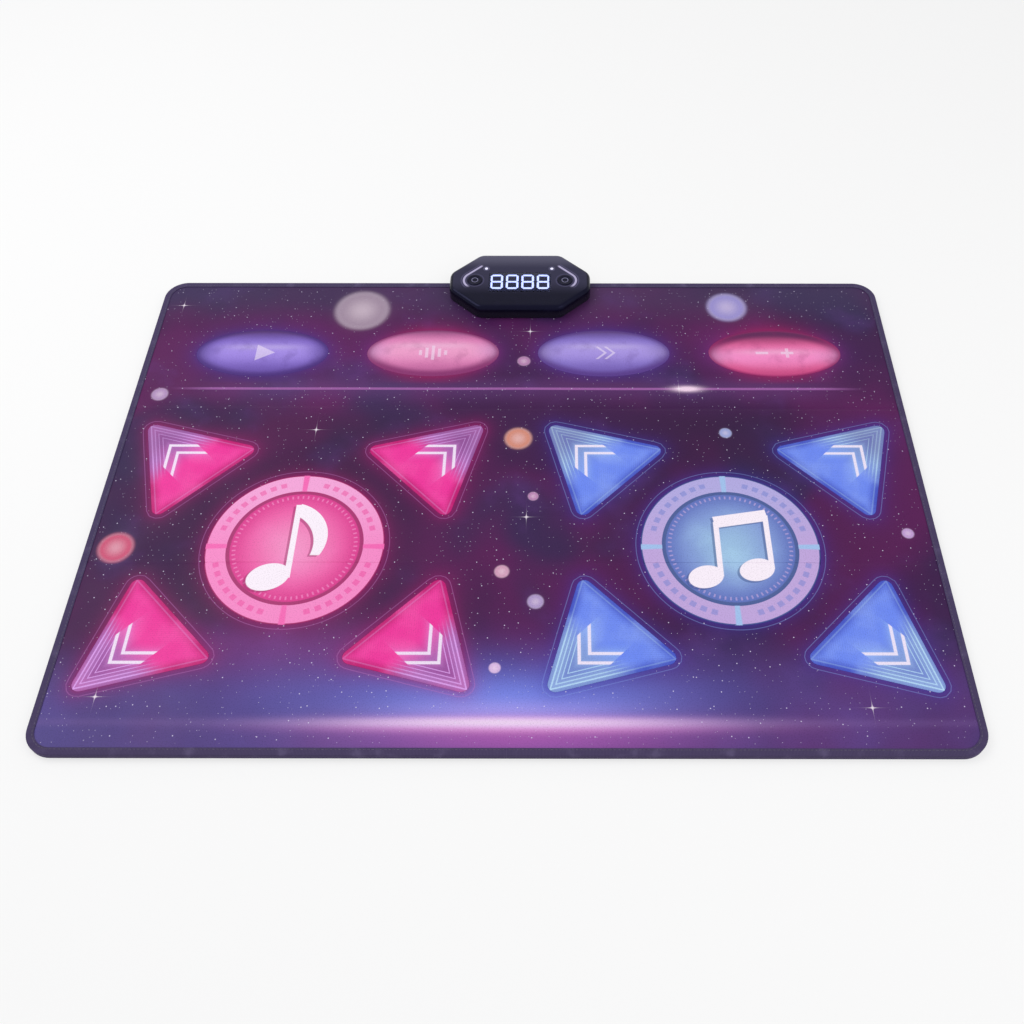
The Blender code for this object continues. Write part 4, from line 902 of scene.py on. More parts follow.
tape_top = [(0, TAPE_ROUND), (0, 6 * MM)]
tape_top += arc_points((TAPE_ROUND, MAT_TOP - TAPE_ROUND), TAPE_ROUND, 180, 90)
tape_top += [(4 * MM, MAT_TOP), (7 * MM, MAT_TOP)]
tape_top += arc_points((LIP_IN, MAT_TOP - LIP_ROUND), LIP_ROUND, 90, -90)
tape_top += [(6 * MM, LIP_Z), (TAPE_WALL, LIP_Z), (TAPE_WALL, TAPE_ROUND)]
tape_low = [(TAPE_WALL, TAPE_ROUND), (0, TAPE_ROUND)]
tape_low += arc_points((TAPE_ROUND, TAPE_ROUND), TAPE_ROUND, 180, 270)[1:]
tape_low += [(STRIP_IN - STRIP_ROUND, 0), (STRIP_IN, STRIP_T / 2)]
tape_low += [(STRIP_IN - STRIP_ROUND, STRIP_T), (TAPE_WALL, STRIP_T)]
edge_trim = {half: [] for half in HALVES}
for half in HALVES:
    for level, section in (("top", tape_top), ("low", tape_low)):
        insets = np.asarray(section)[:, 0]
        last_x = notch_x(insets) if (level, half) == ("top", "back") else 0.0
        made, marks = swept(section, half, last_x)
        piece = new_piece(f"edge_tape_{level}_{half}", made, tape_cloth, smooth=50)
        mark(piece, "along", marks)
        bend(piece, half, level)
        edge_trim[half].append(piece)
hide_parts("edge_binding_rear", "edge_binding_middle_left", "edge_binding_middle_right")
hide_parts("edge_binding_front")

# %% [markdown]
# ## Stitches
#
# One row of thread holds the tape. There are hundreds of stitches, so each is a small six-sided bead with
# few faces, copied along the rail at an even pitch and turned to lie along it.

# %% Stitches along the tape
STITCH_PITCH, STITCH_INSET, STITCH_Z = 5.6 * MM, 8.4 * MM, MAT_TOP + 0.05 * MM

thread = new_surface("sewing_thread", 0.6, Specular_IOR_Level=0.3)
place = Place(thread)
paint = Paint(thread, "#4b4456")
paint.over("#6d6580", rise(place.noise(900.0, 2.0), 0.45, 0.7))
apply_paint(thread, paint, height=place.noise(1500.0, 1.0), depth=0.05 * MM)

bead_x = np.array([-2.0, -1.3, 0.0, 1.3, 2.0]) * MM
bead_r = np.array([0.12, 0.36, 0.42, 0.36, 0.12]) * MM
a = np.arange(6) * np.pi / 3
bead = np.stack([
    np.broadcast_to(bead_x[:, None], (5, 6)), bead_r[:, None] * np.cos(a), 0.55 * bead_r[:, None] * np.sin(a)
], -1)
bead_points, bead_faces = skin(bead)
for half in HALVES:
    last = 0.0 if half == "front" else notch_x(STITCH_INSET) + 3 * MM
    rail = half_rail([STITCH_INSET], half, last)[:, 0]
    run = np.concatenate([[0], np.linalg.norm(np.diff(rail, axis=0), axis=1).cumsum()])
    spots = np.arange(STITCH_PITCH, run[-1], STITCH_PITCH)
    xy = np.stack([np.interp(spots, run, rail[:, k]) for k in (0, 1)], -1)
    ahead = np.stack([np.interp(spots + MM, run, rail[:, k]) for k in (0, 1)], -1) - xy
    turns = np.arctan2(ahead[:, 1], ahead[:, 0])
    where = at_height(xy, STITCH_Z)
    parts = [copies(bead_points, bead_faces, where * (s, 1, 1), turns * s) for s in (1, -1)]
    piece = new_piece(f"edge_stitches_{half}", joined(parts), thread, smooth=60)
    bend(piece, half, "top")
    edge_trim[half].append(piece)

# %% [markdown]
# ## The underside
#
# The mat lies on a dark non-slip cloth with rows of small rubber dots. The cloth is a cut sheet like the
# printed one, raised a little where it lies on the tape's bottom strip. The dots could be a bump in the
# finish, but they lift the mat off the floor, so they are low domes of a few faces on a staggered grid.

# %% Base cloth
BASE_LOW, BASE_TOP, BASE_PITCH, GRIP_PITCH = 0.35 * MM, 1.5 * MM, 16 * MM, 1.3 * MM
STRIP_ROOM, STRIP_RISE = STRIP_IN + 0.3 * MM, 0.55 * MM

grip_cloth = new_surface("grip_cloth", 0.85, Specular_IOR_Level=0.2)
place = Place(grip_cloth, "laid")
paint = Paint(grip_cloth, "#1d1c22")
weave = wave(place.x, GRIP_PITCH) * wave(place.y, GRIP_PITCH)
paint.over("#34323c", rise(weave, 0.0, 0.9) * 0.6)
paint.over("#3d3b46", rise(place.noise(14.0, 5.0), 0.5, 0.8) * 0.5)
apply_paint(grip_cloth, paint, height=weave + place.noise(500.0, 2.0))

base_sheets = {}
for half in HALVES:
    flat, triangles, edge = sheet_grid(half, [notch] * (half == "back"), BASE_PITCH)
    over_strip = smooth_step(nearest(flat, edge), STRIP_ROOM, STRIP_ROOM - 2 * MM)
    low = BASE_LOW + STRIP_RISE * over_strip
    piece = new_piece(f"base_cloth_{half}", thick(flat, triangles, BASE_TOP, low), grip_cloth)
    mark(piece, "laid", np.tile(at_height(flat, 0.0), (2, 1)))
    bend(piece, half, "low")
    base_sheets[half] = (piece, flat, triangles)
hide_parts("base_sheet_rear", "base_sheet_middle")
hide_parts("base_sheet_front")

# %% Grip dots
DOT_PITCH, DOT_MARGIN, DOT_CORNER = 24 * MM, 21 * MM, 56 * MM
BOX_ROOM = np.array([128, 70]) * MM

rubber = new_surface("grip_rubber", 0.55, Specular_IOR_Level=0.4)
place = Place(rubber)
paint = Paint(rubber, "#15151a")
paint.over("#2b2b33", rise(place.noise(60.0, 3.0), 0.45, 0.75))
apply_paint(rubber, paint, height=place.noise(900.0, 2.0), depth=0.04 * MM)

dot_rings = [at_height(circle((0, 0), r * MM, 7), z * MM) for r, z in ((1.4, 0.0), (2.6, 0.1), (3.0, 0.5))]
dot_points, dot_faces = skin(dot_rings)
columns, rows = np.meshgrid(np.arange(-26, 27), np.arange(-22, 23))
row_pitch = DOT_PITCH * math.sin(math.pi / 3)
places = np.stack([(columns + rows % 2 / 2) * DOT_PITCH, rows * row_pitch - 26 * MM], -1).reshape(-1, 2)
x, y = abs(places[:, 0]), places[:, 1]
off_box = (x > BOX_ROOM[0]) | (y < BOX_Y - BOX_ROOM[1])
dots = {}
for half, row in HALVES.items():
    way, far = row["way"], row["edge"] * row["way"]
    inside = off_box & ((y - JOIN_Y) * way > 4 * MM) & (abs(y - row["crease"]) > 5 * MM)
    inside &= (x < HALF_WIDTH - DOT_MARGIN) & (y * way < far - DOT_MARGIN)
    mine = places[inside & (x + y * way < HALF_WIDTH + far - DOT_CORNER)]
    made = copies(dot_points, dot_faces, at_height(mine, 0.0), np.zeros(len(mine)))
    dots[half] = new_piece(f"grip_dots_{half}", made, rubber, smooth=60)
    bend(dots[half], half, "low")

# %% [markdown]
# ## Flat sizes of the sheets
#
# For each half, the sheet's flat size and the cut area of the printed sheet and of the base cloth are
# printed. The flat area is the cut's: the half's outline less its openings.

# %% Flat sizes
def flat_area(flat, triangles):
    """The sum of the triangles' areas."""
    a, b, c = (flat[triangles[:, k]] for k in range(3))
    return float(abs(np.cross(b - a, c - a)).sum() / 2)


for half in HALVES:
    size = (2 * (HALF_WIDTH - EDGE_INSET), abs(HALVES[half]["edge"] - JOIN_Y) - EDGE_INSET)
    films = ["upper_film_middle", "upper_film_rear" if half == "back" else "upper_film_front"]
    layers = (
        ("printed", printed_sheets[half], films, edge_trim[half]),
        ("base", base_sheets[half], ["floor"], [dots[half]]),
    )
    for kind, (piece, flat, triangles), under, trim in layers:
        area = flat_area(flat, triangles)
        print(half, kind, "sheet", [round(s, 4) for s in size], "m, cut area", round(area, 4), "m2")

# %% [markdown]
# ## The pads' prints
#
# A pad is its own patch of the printed cloth over a switch, so it can sink by two millimetres. Each print is
# worked out in the pad's own place: u towards its tip, or to the right, and v across. The four pads of one
# player can then share one finish.

# %% Arrow pad print
ARROW_INRADIUS, HATCH_PITCH = ARROW_SIDE / math.sqrt(12), 4.6 * MM
CHEVRONS, CHEVRON_HALF = (0.027, 0.048), 0.0042
EDGE_LINES = ((0.0118, 0.0011), (0.0176, 0.0009), (0.0236, 0.0009))


def side_distances(u, v):
    """Distances in from the back side of a three-cornered pad and from the slanted side that is nearer:
    u + r, and r - u * cos 60 - v * sin 60, with r the radius of the circle that fits inside."""
    return u + ARROW_INRADIUS, ARROW_INRADIUS - u * 0.5 - v * 0.866


def arrow_print(name, deep, middle, bright, outer, line, dull):
    """A three-cornered pad: hot towards the player's round pad, and a paler outer corner crossed by thin
    lines that follow its edges, with two chevrons. Depth is the distance in from its nearest side."""
    material = new_surface(name, 0.44, Specular_IOR_Level=0.14)
    place = Place(material, "pad_place")
    u, v = place.x, abs(place.y)
    depth = calculate("MINIMUM", *side_distances(u, v))
    paint = Paint(material, deep)
    paint.over(middle, rise(depth, 0.0, 0.02))
    paint.over(bright, rise(place.noise(16.0, 4.0), 0.4, 0.72) * 0.5)
    far = rise(u, -0.006, 0.042)
    paint.over(outer, far * (rise(place.noise(24.0, 4.0), 0.25, 0.65) * 0.25 + 0.68))
    hatch = wave(u + place.y, HATCH_PITCH)
    paint.over(deep, rise(hatch, 0.2, 0.9) * rise(u, 0.01, -0.05) * 0.2)
    paint.over(line, stripe(depth, 0.0062, 0.0014) * (far * 0.75 + 0.2))
    for inset, half in EDGE_LINES:
        paint.over(line, stripe(depth, inset, half) * far * 0.85)
    paint.over(line, bell(depth, 0.009, 0.01) * far * 0.35)
    paint.over(dull, rise(Place(material).y, PLAYER_Y, PLAYER_Y + 0.02) * rise(u, 0.02, 0.07) * 0.45)
    arms = rise(v, 0.0335, 0.032)
    for start in CHEVRONS:
        paint.over(line, fade(abs(u + v - start), 0.008) * arms * 0.5)
        paint.over("#f9ecff", stripe(u + v, start, CHEVRON_HALF) * arms * 0.9)
    return vinyl(material, place, paint)


pink_inks = ("#c01672", "#f2349e", "#ff62b8", "#8c4798", "#e0a2f0", "#7a4a84")
blue_inks = ("#4656c4", "#6f8cf6", "#98b2fc", "#6f83cc", "#b8dcfb", "#62508e")
arrow_finish = {
    "left": arrow_print("pink_arrow_print", *pink_inks),
    "right": arrow_print("blue_arrow_print", *blue_inks),
}
print("arrow prints:", len(arrow_finish["left"].node_tree.nodes), "nodes each")

# %% [markdown]
# ## Signs from simple shapes
#
# The notes in the round pads and the signs in the menu pads are pale shapes in the print. Each could be cut
# from a picture, but a formula stays sharp at any size. A shape is a field that is 1 inside it and 0
# outside, and the largest of several fields joins their shapes.

# %% Blobs and bars
def within(edge):
    """1 where the distance out from an edge is below 0, with a soft step 1 mm wide."""
    return rise(edge, 0.5 * MM, -0.5 * MM)


def tilted(u, v, centre, angle):
    """A place turned about a centre: along and across an axis at this angle."""
    c, s = math.cos(math.radians(angle)), math.sin(math.radians(angle))
    du, dv = u - centre[0], v - centre[1]
    return du * c + dv * s, dv * c - du * s


def blob(u, v, centre, half, angle=0.0):
    """1 inside an ellipse."""
    p, q = tilted(u, v, centre, angle)
    return rise(distance(p * (1 / half[0]), q * (1 / half[1])), 1.03, 0.97)


def bar(u, v, centre, half, angle=0.0):
    """1 inside a straight bar."""
    p, q = tilted(u, v, centre, angle)
    return within(calculate("MAXIMUM", abs(p) - half[0], abs(q) - half[1]))


def either(*fields):
    """Where any of the shapes is."""
    whole = fields[0]
    for field in fields[1:]:
        whole = calculate("MAXIMUM", whole, field)
    return whole


print("blobs and bars ready")


# %% Notes
def single_note(u, v):
    """A note with one flag: an oval head, a stem and a flag that is the gap between two circles."""
    head = blob(u, v, (-0.026, -0.044), (0.026, 0.0185), 18)
    stem = bar(u, v, (-0.0032, 0.0085), (0.0036, 0.0535))
    outer = distance(u + 0.014, v - 0.013)
    inner = distance(u + 0.027, v - 0.002)
    flag = rise(outer, 0.0525, 0.0515) * rise(inner, 0.0485, 0.0495)
    return either(head, stem, flag * rise(u, -0.001, 0.0) * rise(v, -0.014, -0.012))


def double_note(u, v):
    """Two notes under one slanted beam."""
    heads = [blob(u, v, c, (0.0215, 0.0155), 16) for c in ((-0.033, -0.043), (0.029, -0.033))]
    stems = [bar(u, v, (x, y), (0.0033, 0.0395)) for x, y in ((-0.0148, -0.003), (0.0472, 0.0075))]
    return either(*heads, *stems, bar(u, v, (0.0162, 0.0415), (0.0335, 0.0085), 9.5))


print("notes ready")

# %% Round pad print
NOTE_SCALE, SHADOW = 1.25, (0.004, 0.003)
RING_IN, RING_OUT, DASH_RADIUS, TICK_RADIUS = 103.5 * MM, 134.5 * MM, 119 * MM, 92 * MM


def part_place(turn, count):
    """The share of a turn, cut into equal parts: 0 in the middle of each part and 0.5 at its ends."""
    return abs(calculate("FRACT", turn * count) - 0.5)


def disc_print(name, deep, middle, bright, ring, top, dark, glow, note):
    """A round pad: a pale broken ring, an inner disc lit from its middle, and a white note. r is the
    distance from the middle and turn the share of a whole turn."""
    material = new_surface(name, 0.44, Specular_IOR_Level=0.14)
    place = Place(material, "pad_place")
    u, v = place.x, place.y
    r = distance(u, v)
    turn = calculate("ARCTAN2", v, u) * (1 / (2 * math.pi)) + 0.5
    paint = Paint(material, middle)
    paint.over(bright, rise(place.noise(13.0, 4.0), 0.42, 0.7) * rise(r, 0.1, 0.02) * 0.7)
    paint.over(deep, rise(r, 0.06, 0.1) * 0.75)
    paint.over(dark, rise(r, 0.097, 0.099) * 0.75)
    band = rise(r, RING_IN, RING_IN + MM) * rise(r, RING_OUT, RING_OUT - MM)
    paint.over(ring, band)
    paint.over(top, band * rise(v, -0.02, 0.12) * 0.8)
    quarter = part_place(turn, 4.0)
    paint.over(bright, rise(quarter, 0.47, 0.485) * rise(r, 0.103, 0.104))
    dashes = rise(part_place(turn, 44.0), 0.2, 0.24) * stripe(r, DASH_RADIUS, 0.0055)
    dashes = dashes * rise(quarter, 0.36, 0.33)
    paint.over(middle, dashes * 0.55)
    ticks = rise(part_place(turn, 72.0), 0.3, 0.38) * stripe(r, TICK_RADIUS, 0.0035)
    paint.over(ring, ticks * 0.6)
    paint.over(glow, bell(r, 0.0, 0.062) * 0.6)
    shade_u, shade_v = u + SHADOW[0], v + SHADOW[1]
    paint.over(dark, note(shade_u * (1 / NOTE_SCALE), shade_v * (1 / NOTE_SCALE)) * 0.55)
    paint.over("#fef3ff", note(u * (1 / NOTE_SCALE), v * (1 / NOTE_SCALE)))
    return vinyl(material, place, paint, 0.4)


pink_inks = ("#d62486", "#ee429f", "#f86ab8", "#f98ccb", "#f6aee0", "#90205e", "#fbb4de")
lilac_inks = ("#5462b6", "#7484d2", "#a4c4f0", "#c4a8e0", "#b2aee6", "#3e4f86", "#b4e0f2")
disc_finish = {
    "left": disc_print("pink_disc_print", *pink_inks, single_note),
    "right": disc_print("lilac_disc_print", *lilac_inks, double_note),
}
print("disc prints:", len(disc_finish["right"].node_tree.nodes), "nodes")


# %% Signs of the menu pads
PLAY_INRADIUS = 0.011
LEVELS = ((-0.022, 0.006), (-0.011, 0.012), (0.0, 0.017), (0.011, 0.010), (0.022, 0.0055))


def play_sign(u, v):
    """A triangle that points right, with three sides at the same distance from its middle."""
    slanted = u * 0.5 + abs(v) * 0.866 - PLAY_INRADIUS
    return within(calculate("MAXIMUM", -PLAY_INRADIUS - u, slanted))


def level_sign(u, v):
    """Five upright bars of different heights, as on a sound meter."""
    return either(*[bar(u, v, (x, 0.0), (0.0027, high)) for x, high in LEVELS])


def skip_sign(u, v):
    """Two chevrons that point right."""
    arms = rise(abs(v), 0.0155, 0.0145)
    return either(*[stripe(u + abs(v), x, 0.0032) * arms for x in (0.003, 0.018)])


def cross_sign(u, v):
    """A plus sign between two bars, for louder and softer."""
    plus = either(bar(u, v, (0.022, 0.0), (0.011, 0.0028)), bar(u, v, (0.022, 0.0), (0.0028, 0.011)))
    return either(plus, bar(u, v, (-0.022, 0.0), (0.011, 0.0028)))


print("menu signs ready")


# %% Oval menu pad print
def oval_print(name, edge, middle, bright, ends, lift, sign):
    """A long oval with a band of light along it, which lies `lift` behind its middle line, pale ends and a
    fade to the sheet's dark violet at its rim and at the back."""
    material = new_surface(name, 0.44, Specular_IOR_Level=0.14)
    place = Place(material, "pad_place")
    u, v = place.x, place.y
    e = distance(u * (1 / MENU_HALF[0]), v * (1 / MENU_HALF[1]))
    lit = v - lift
    upper = distance(u * (1 / MENU_HALF[0]), lit * (1 / MENU_HALF[1]))
    paint = Paint(material, edge)
    paint.over(middle, rise(upper, 1.0, 0.76) * 0.95)
    paint.over(bright, bell(lit, 0.0, 0.026) * rise(e, 1.0, 0.6) * 0.9)
    paint.over(ends, bell(lit, 0.0, 0.02) * rise(abs(u), 0.06, 0.1) * 0.45)
    paint.over("#f6e8fb", bell(lit, 0.011, 0.007) * rise(abs(u), 0.1, 0.02) * 0.2)
    paint.over(edge, rise(lit, -0.018, -0.056) * 0.45)
    paint.over("#4a2452", rise(lit, 0.021, 0.055) * 0.75)
    paint.over(edge, rise(place.noise(30.0, 3.0), 0.5, 0.75) * 0.25)
    paint.over(edge, rise(e, 0.9, 1.0) * 0.7)
    paint.over("#f4e6fa", sign(u, v) * 0.5)
    return vinyl(material, place, paint, 0.42)


oval_finish = [
    oval_print("oval_print_1", "#4a2c7c", "#7c62c2", "#a68ee8", "#6f5aa8", 0.002, play_sign),
    oval_print("oval_print_2", "#8a3470", "#de7cb6", "#f2a4cf", "#dca8d8", 0.006, level_sign),
    oval_print("oval_print_3", "#5a3c8c", "#8470ca", "#ae9ae8", "#a492cc", 0.004, skip_sign),
    oval_print("oval_print_4", "#8f1f62", "#e05892", "#fc94d0", "#dca0d4", -0.009, cross_sign),
]
print("oval prints:", len(oval_finish), "finishes")

# %% [markdown]
# ## The pads
#
# Each pad is softly crowned: it climbs 0.8 mm in the first few centimetres in from its rim. Its rings are
# its outline drawn smaller and smaller about a middle point, and each point's height comes from how far it
# is from the pad's rim. The front crease runs across the round pads, so each is two plates, and they are a
# little narrower at the crease, where the sheet round them bends.

# %% Pad shapes
PAD_LOW, PAD_GAP, FOLD_ROOM, RIM_DROP = 8.6 * MM, 0.12 * MM, 0.6 * MM, 0.3 * MM
PAD_CROWN, CROWN_REACH, PAD_GROOVE = 0.8 * MM, 16 * MM, 0.5 * MM


def pad_skin(outline, middle, depth):
    """Rings of an outline shrunk about a middle point. The top's height is the crown, which grows as
    1 - exp(-depth / 16 mm), less the crease's groove; depth(x, y) is the distance in from the rim."""
    outline = finely(outline, step=4 * MM)
    shares = np.concatenate([[1.0, 1.0, 0.9985], np.linspace(0.988, 0.03, 22)])
    flat = np.asarray(middle) + shares[:, None, None] * (outline - middle)
    x, y = flat[..., 0], flat[..., 1]
    crown = PAD_CROWN * (1 - np.exp(-np.maximum(depth(x, y), 0) / CROWN_REACH))
    z = TOP_Z + crown - PAD_GROOVE * groove(y, FRONT_CREASE)
    z[0], z[1] = PAD_LOW, z[1] - RIM_DROP
    return skin(np.concatenate([flat, z[..., None]], -1))


def new_pad(name, outline, middle, centre, heading, depth, material):
    """A pad that stands for its CAD node and rides on the body of the same name."""
    points, faces = pad_skin(outline, middle, depth)
    piece = new_piece(f"{name}_print", (points, faces), material)
    c, s = math.cos(heading), math.sin(heading)
    du, dv = (points[:, :2] - centre).T
    mark(piece, "pad_place", np.stack([du * c + dv * s, dv * c - du * s, 0 * du], -1))
    area = flat_area(outline, np.array([(0, k, k + 1) for k in range(1, len(outline) - 1)]))
    panel = "front" if outline[:, 1].mean() < FRONT_CREASE else "middle"
    under = ["lower_film_rear" if centre[1] > REAR_CREASE else f"lower_film_{panel}"]
    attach(piece, name)
    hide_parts(name)


print("pads are", round(TOP_Z - PAD_LOW, 5), "m thick")


# %% Distances in from a pad's rim
def arrow_depth(centre, heading):
    """For a three-cornered pad, the least of the distances from its sides, as in its print."""
    c, s = math.cos(heading), math.sin(heading)

    def depth(x, y):
        du, dv = x - centre[0], y - centre[1]
        return np.minimum(*side_distances(du * c + dv * s, abs(dv * c - du * s)))

    return depth


def disc_depth(centre, radius):
    """For a round pad, its radius less the distance from its middle."""
    return lambda x, y: radius - np.hypot(x - centre[0], y - centre[1])


def oval_depth(centre):
    """For an oval, about the distance: half its depth * (1 - the share of the way out)."""
    a, b = MENU_HALF
    return lambda x, y: b * (1 - np.hypot((x - centre[0]) / a, (y - centre[1]) / b))


print("depth at a round pad's middle:", disc_depth((0, 0), ROUND_RADIUS)(0, 0), "m")

# %% Three-cornered pads
for pad in arrows:
    outline = arrow_shape(pad["centre"], pad["heading"], PAD_GAP)
    slot = {"left": "pink_print", "right": "blue_print"}[pad["player"]]
    new_pad(pad["name"], outline, pad["centre"], pad["centre"], pad["heading"],
            arrow_depth(pad["centre"], pad["heading"]), arrow_finish[pad["player"]])

# %% Round pads, each in two plates
for side, centre in discs.items():
    for row, way in (("rear", 1), ("front", -1)):
        cut, radius = FRONT_CREASE + way * PAD_GAP, ROUND_RADIUS - PAD_GAP
        lean = math.asin((cut - centre[1]) / radius)
        start, end = (lean, math.pi - lean) if way > 0 else (math.pi - lean, 2 * math.pi + lean)
        a = np.linspace(start, end, 61)
        room = FOLD_ROOM * smooth_step(abs(centre[1] + radius * np.sin(a) - FRONT_CREASE), 7 * MM, 0)
        outline = np.asarray(centre) + np.stack([(radius - room) * np.cos(a), radius * np.sin(a)], -1)
        middle = (centre[0], (cut + outline[:, 1][abs(outline[:, 1] - cut).argmax()]) / 2)
        slot = {"left": "pink_print", "right": "lilac_print"}[side]
        new_pad(f"{side}_round_pad_{row}", outline, middle, centre, 0.0,
                disc_depth(centre, radius), disc_finish[side])

# %% Oval menu pads
for number, (centre, material) in enumerate(zip(ovals, oval_finish), 1):
    slot = "lilac_print" if number % 2 else "rose_print"
    new_pad(f"menu_pad_{number}", oval_shape(centre, PAD_GAP), centre, centre, 0.0,
            oval_depth(centre), material)

# %% [markdown]
# ## The control box
#
# The cap is glossy black plastic: a long octagon with round corners and a rolled upper edge. Its wall is one
# section carried round the octagon, and its flat roof is a plate with cut-outs for the window and the keys.
# A Boolean could cut them, but it leaves long thin triangles, which show in a glossy face. The pale arcs
# beside the keys are painted highlights, for the light that the ends of the roof catch: each keeps 20 mm
# from a short run that starts at the key's middle and slants inwards and back. The back of the roof and
# its rolled back edge are painted paler, as a painted reflection. The power switch's knob slides in a slot
# in the back wall, which is cut from the wall's two flat faces there.

# %% Case finish
def moulded(name, ground, pale, roughness, **constants):
    """Moulded plastic: a slight unevenness, fine scratches, and dust where it is duller."""
    material = new_surface(name, roughness, **constants)
    place = Place(material)
    paint = Paint(material, ground)
    paint.over(pale, rise(place.noise(55.0, 5.0), 0.5, 0.78) * 0.35)
    scratches = place.noise(90.0, 2.0, stretch=(1.0, 14.0, 1.0))
    rough = rise(scratches, 0.55, 0.72) * 0.12 + rise(place.noise(30.0, 4.0), 0.4, 0.7) * 0.08 + roughness
    return material, place, paint, rough


KEY_X, KEY_RADIUS, BOX_TOP = 82 * MM, 13.5 * MM, 36 * MM
VIOLET_GLOSS = (0.45, 0.46, 1.0, 1.0)
SWEEP, SWEEP_LENGTH, HIGHLIGHT_ARC_ROOM = (0.73, 0.684), 38 * MM, 20 * MM
LAMP_X, LAMP_Y = (-62 * MM, 58 * MM), 31 * MM
case_black, place, paint, rough = moulded(
    "case_plastic", "#0a0918", "#17142a", 0.2, Specular_IOR_Level=0.16, Specular_Tint=VIOLET_GLOSS
)
up = rise(place.z, 35.6 * MM, 35.9 * MM)
paint.over("#26222f", rise(place.z, 30 * MM, 20 * MM) * 0.7)
# Painted reflection: the roof's back half and its rolled back edge are painted paler, for the bright room
# that the gloss would show there.
paint.over("#403e56", rise(place.y - BOX_Y, -0.04, 0.0) * up * 0.6)
paint.over("#5c5a6e", rise(place.y - BOX_Y, 0.03, 0.062) * 0.8)
# Painted highlights: pale arcs on the roof beside each key, for the light that the roof's ends catch.
kx, ky = abs(place.x) - KEY_X, place.y - BOX_Y
along = calculate("MINIMUM", calculate("MAXIMUM", ky * SWEEP[1] - kx * SWEEP[0], 0.0), SWEEP_LENGTH)
off = distance(kx + along * SWEEP[0], ky - along * SWEEP[1])
highlight_side = rise(kx * SWEEP[1] + ky * SWEEP[0], -0.008, 0.002)
highlight_side = highlight_side * rise(along, SWEEP_LENGTH, SWEEP_LENGTH - 6 * MM)
paint.over("#3a3652", stripe(off, HIGHLIGHT_ARC_ROOM + MM, 6.0 * MM) * highlight_side * up * 0.6)
paint.over("#b6aed0", stripe(off, HIGHLIGHT_ARC_ROOM, 2.4 * MM) * highlight_side * up)
paint.over("#5d5878", stripe(off, HIGHLIGHT_ARC_ROOM + 5 * MM, 0.8 * MM) * highlight_side * up * 0.8)
paint.over("#474460", stripe(distance(kx, ky), 16.2 * MM, 1.1 * MM) * up)
for lamp_x in LAMP_X:
    lamp_off = distance(place.x - lamp_x, place.y - (BOX_Y + LAMP_Y))
    paint.over("#6f6c8a", stripe(lamp_off, 5.2 * MM, 0.7 * MM) * up * 0.8)
apply_paint(case_black, paint, rough, place.noise(380.0, 2.0), depth=0.02 * MM)
print("case finish ready")

# %% Openings of the cap
WINDOW_Y, WINDOW_HALF, WINDOW_ROUND = 408.99 * MM, np.array([56.0, 25.0]) * MM, 5 * MM
SLOT_MIDDLE, SLOT_HALF, SLOT_ROUND = np.array([-30.0, 24.1]) * MM, np.array([4.4, 1.9]) * MM, 0.6 * MM


def round_box(middle, half, radius, steps):
    """A rectangle with round corners: middle and half sizes to its outer sides."""
    signs = np.array([(-1, -1), (1, -1), (1, 1), (-1, 1)])
    return round_corners(middle + signs * (half - radius), radius, steps)


def window_shape(grow):
    """The window's rectangle with round corners, made larger by grow."""
    return round_box(np.array([0.0, WINDOW_Y]), WINDOW_HALF + grow, WINDOW_ROUND + grow, 7)


def with_slot(points, faces):
    """A wall with the knob's slot through its back. Each of the two upright faces that the slot's middle
    lies in becomes triangles between its corners and the slot's outline, and straight sides join the two
    outlines."""
    slot = round_box(SLOT_MIDDLE, SLOT_HALF, SLOT_ROUND, 4)
    low, high = points[faces].min(1), points[faces].max(1)
    upright = (high[:, 1] - low[:, 1] < 0.001 * MM) & (low[:, 1] > BOX_Y)
    around = (low[:, [0, 2]] < SLOT_MIDDLE).all(1) & (high[:, [0, 2]] > SLOT_MIDDLE).all(1)
    cuts = np.flatnonzero(upright & around)
    k = np.arange(len(slot))
    made, rings = [], []
    for cut in cuts:
        corners, start = np.array(faces[cut]), len(points) + len(rings) * len(slot)
        (x0, _, z0), (x1, y, z1) = low[cut], high[cut]
        flat, triangles = cut_sheet(np.array([(x0, z0), (x1, z0), (x1, z1), (x0, z1)]), [slot], [], [])
        known = np.vstack([points[corners][:, [0, 2]], slot])
        match = ((flat[:, None] - known[None]) ** 2).sum(-1).argmin(1)
        made += np.concatenate([corners, start + k])[match][triangles].tolist()
        rings.append(np.column_stack([slot[:, 0], np.full(len(slot), y), slot[:, 1]]))
    after = (k + 1) % len(slot)
    tunnel = np.column_stack([k, after, after + len(slot), k + len(slot)]) + len(points)
    print("slot cut through", len(cuts), "faces")
    kept = [face for at, face in enumerate(faces) if at not in cuts]
    return np.vstack([points, *rings]), kept + made + tunnel.tolist()


print("window", 2 * WINDOW_HALF, "m and slot", 2 * SLOT_HALF, "m")

# %% Cap
# The foot is the flange with which the wall stands on the mat, and the ledge lies under the window's rim.
CAP_LOW, WAIST, WALL, CEILING = 11.7 * MM, 20 * MM, 2.5 * MM, 33.5 * MM
ROLL_IN, ROLL_DOWN, ROOF_INSET, SHOULDER = 8 * MM, 9 * MM, 12 * MM, 10.5 * MM
FOOT_IN, FOOT_TOP, LEDGE, LEDGE_TOP, CAP_GAP = 7.7 * MM, 13.7 * MM, 3 * MM, 34.2 * MM, 0.3 * MM

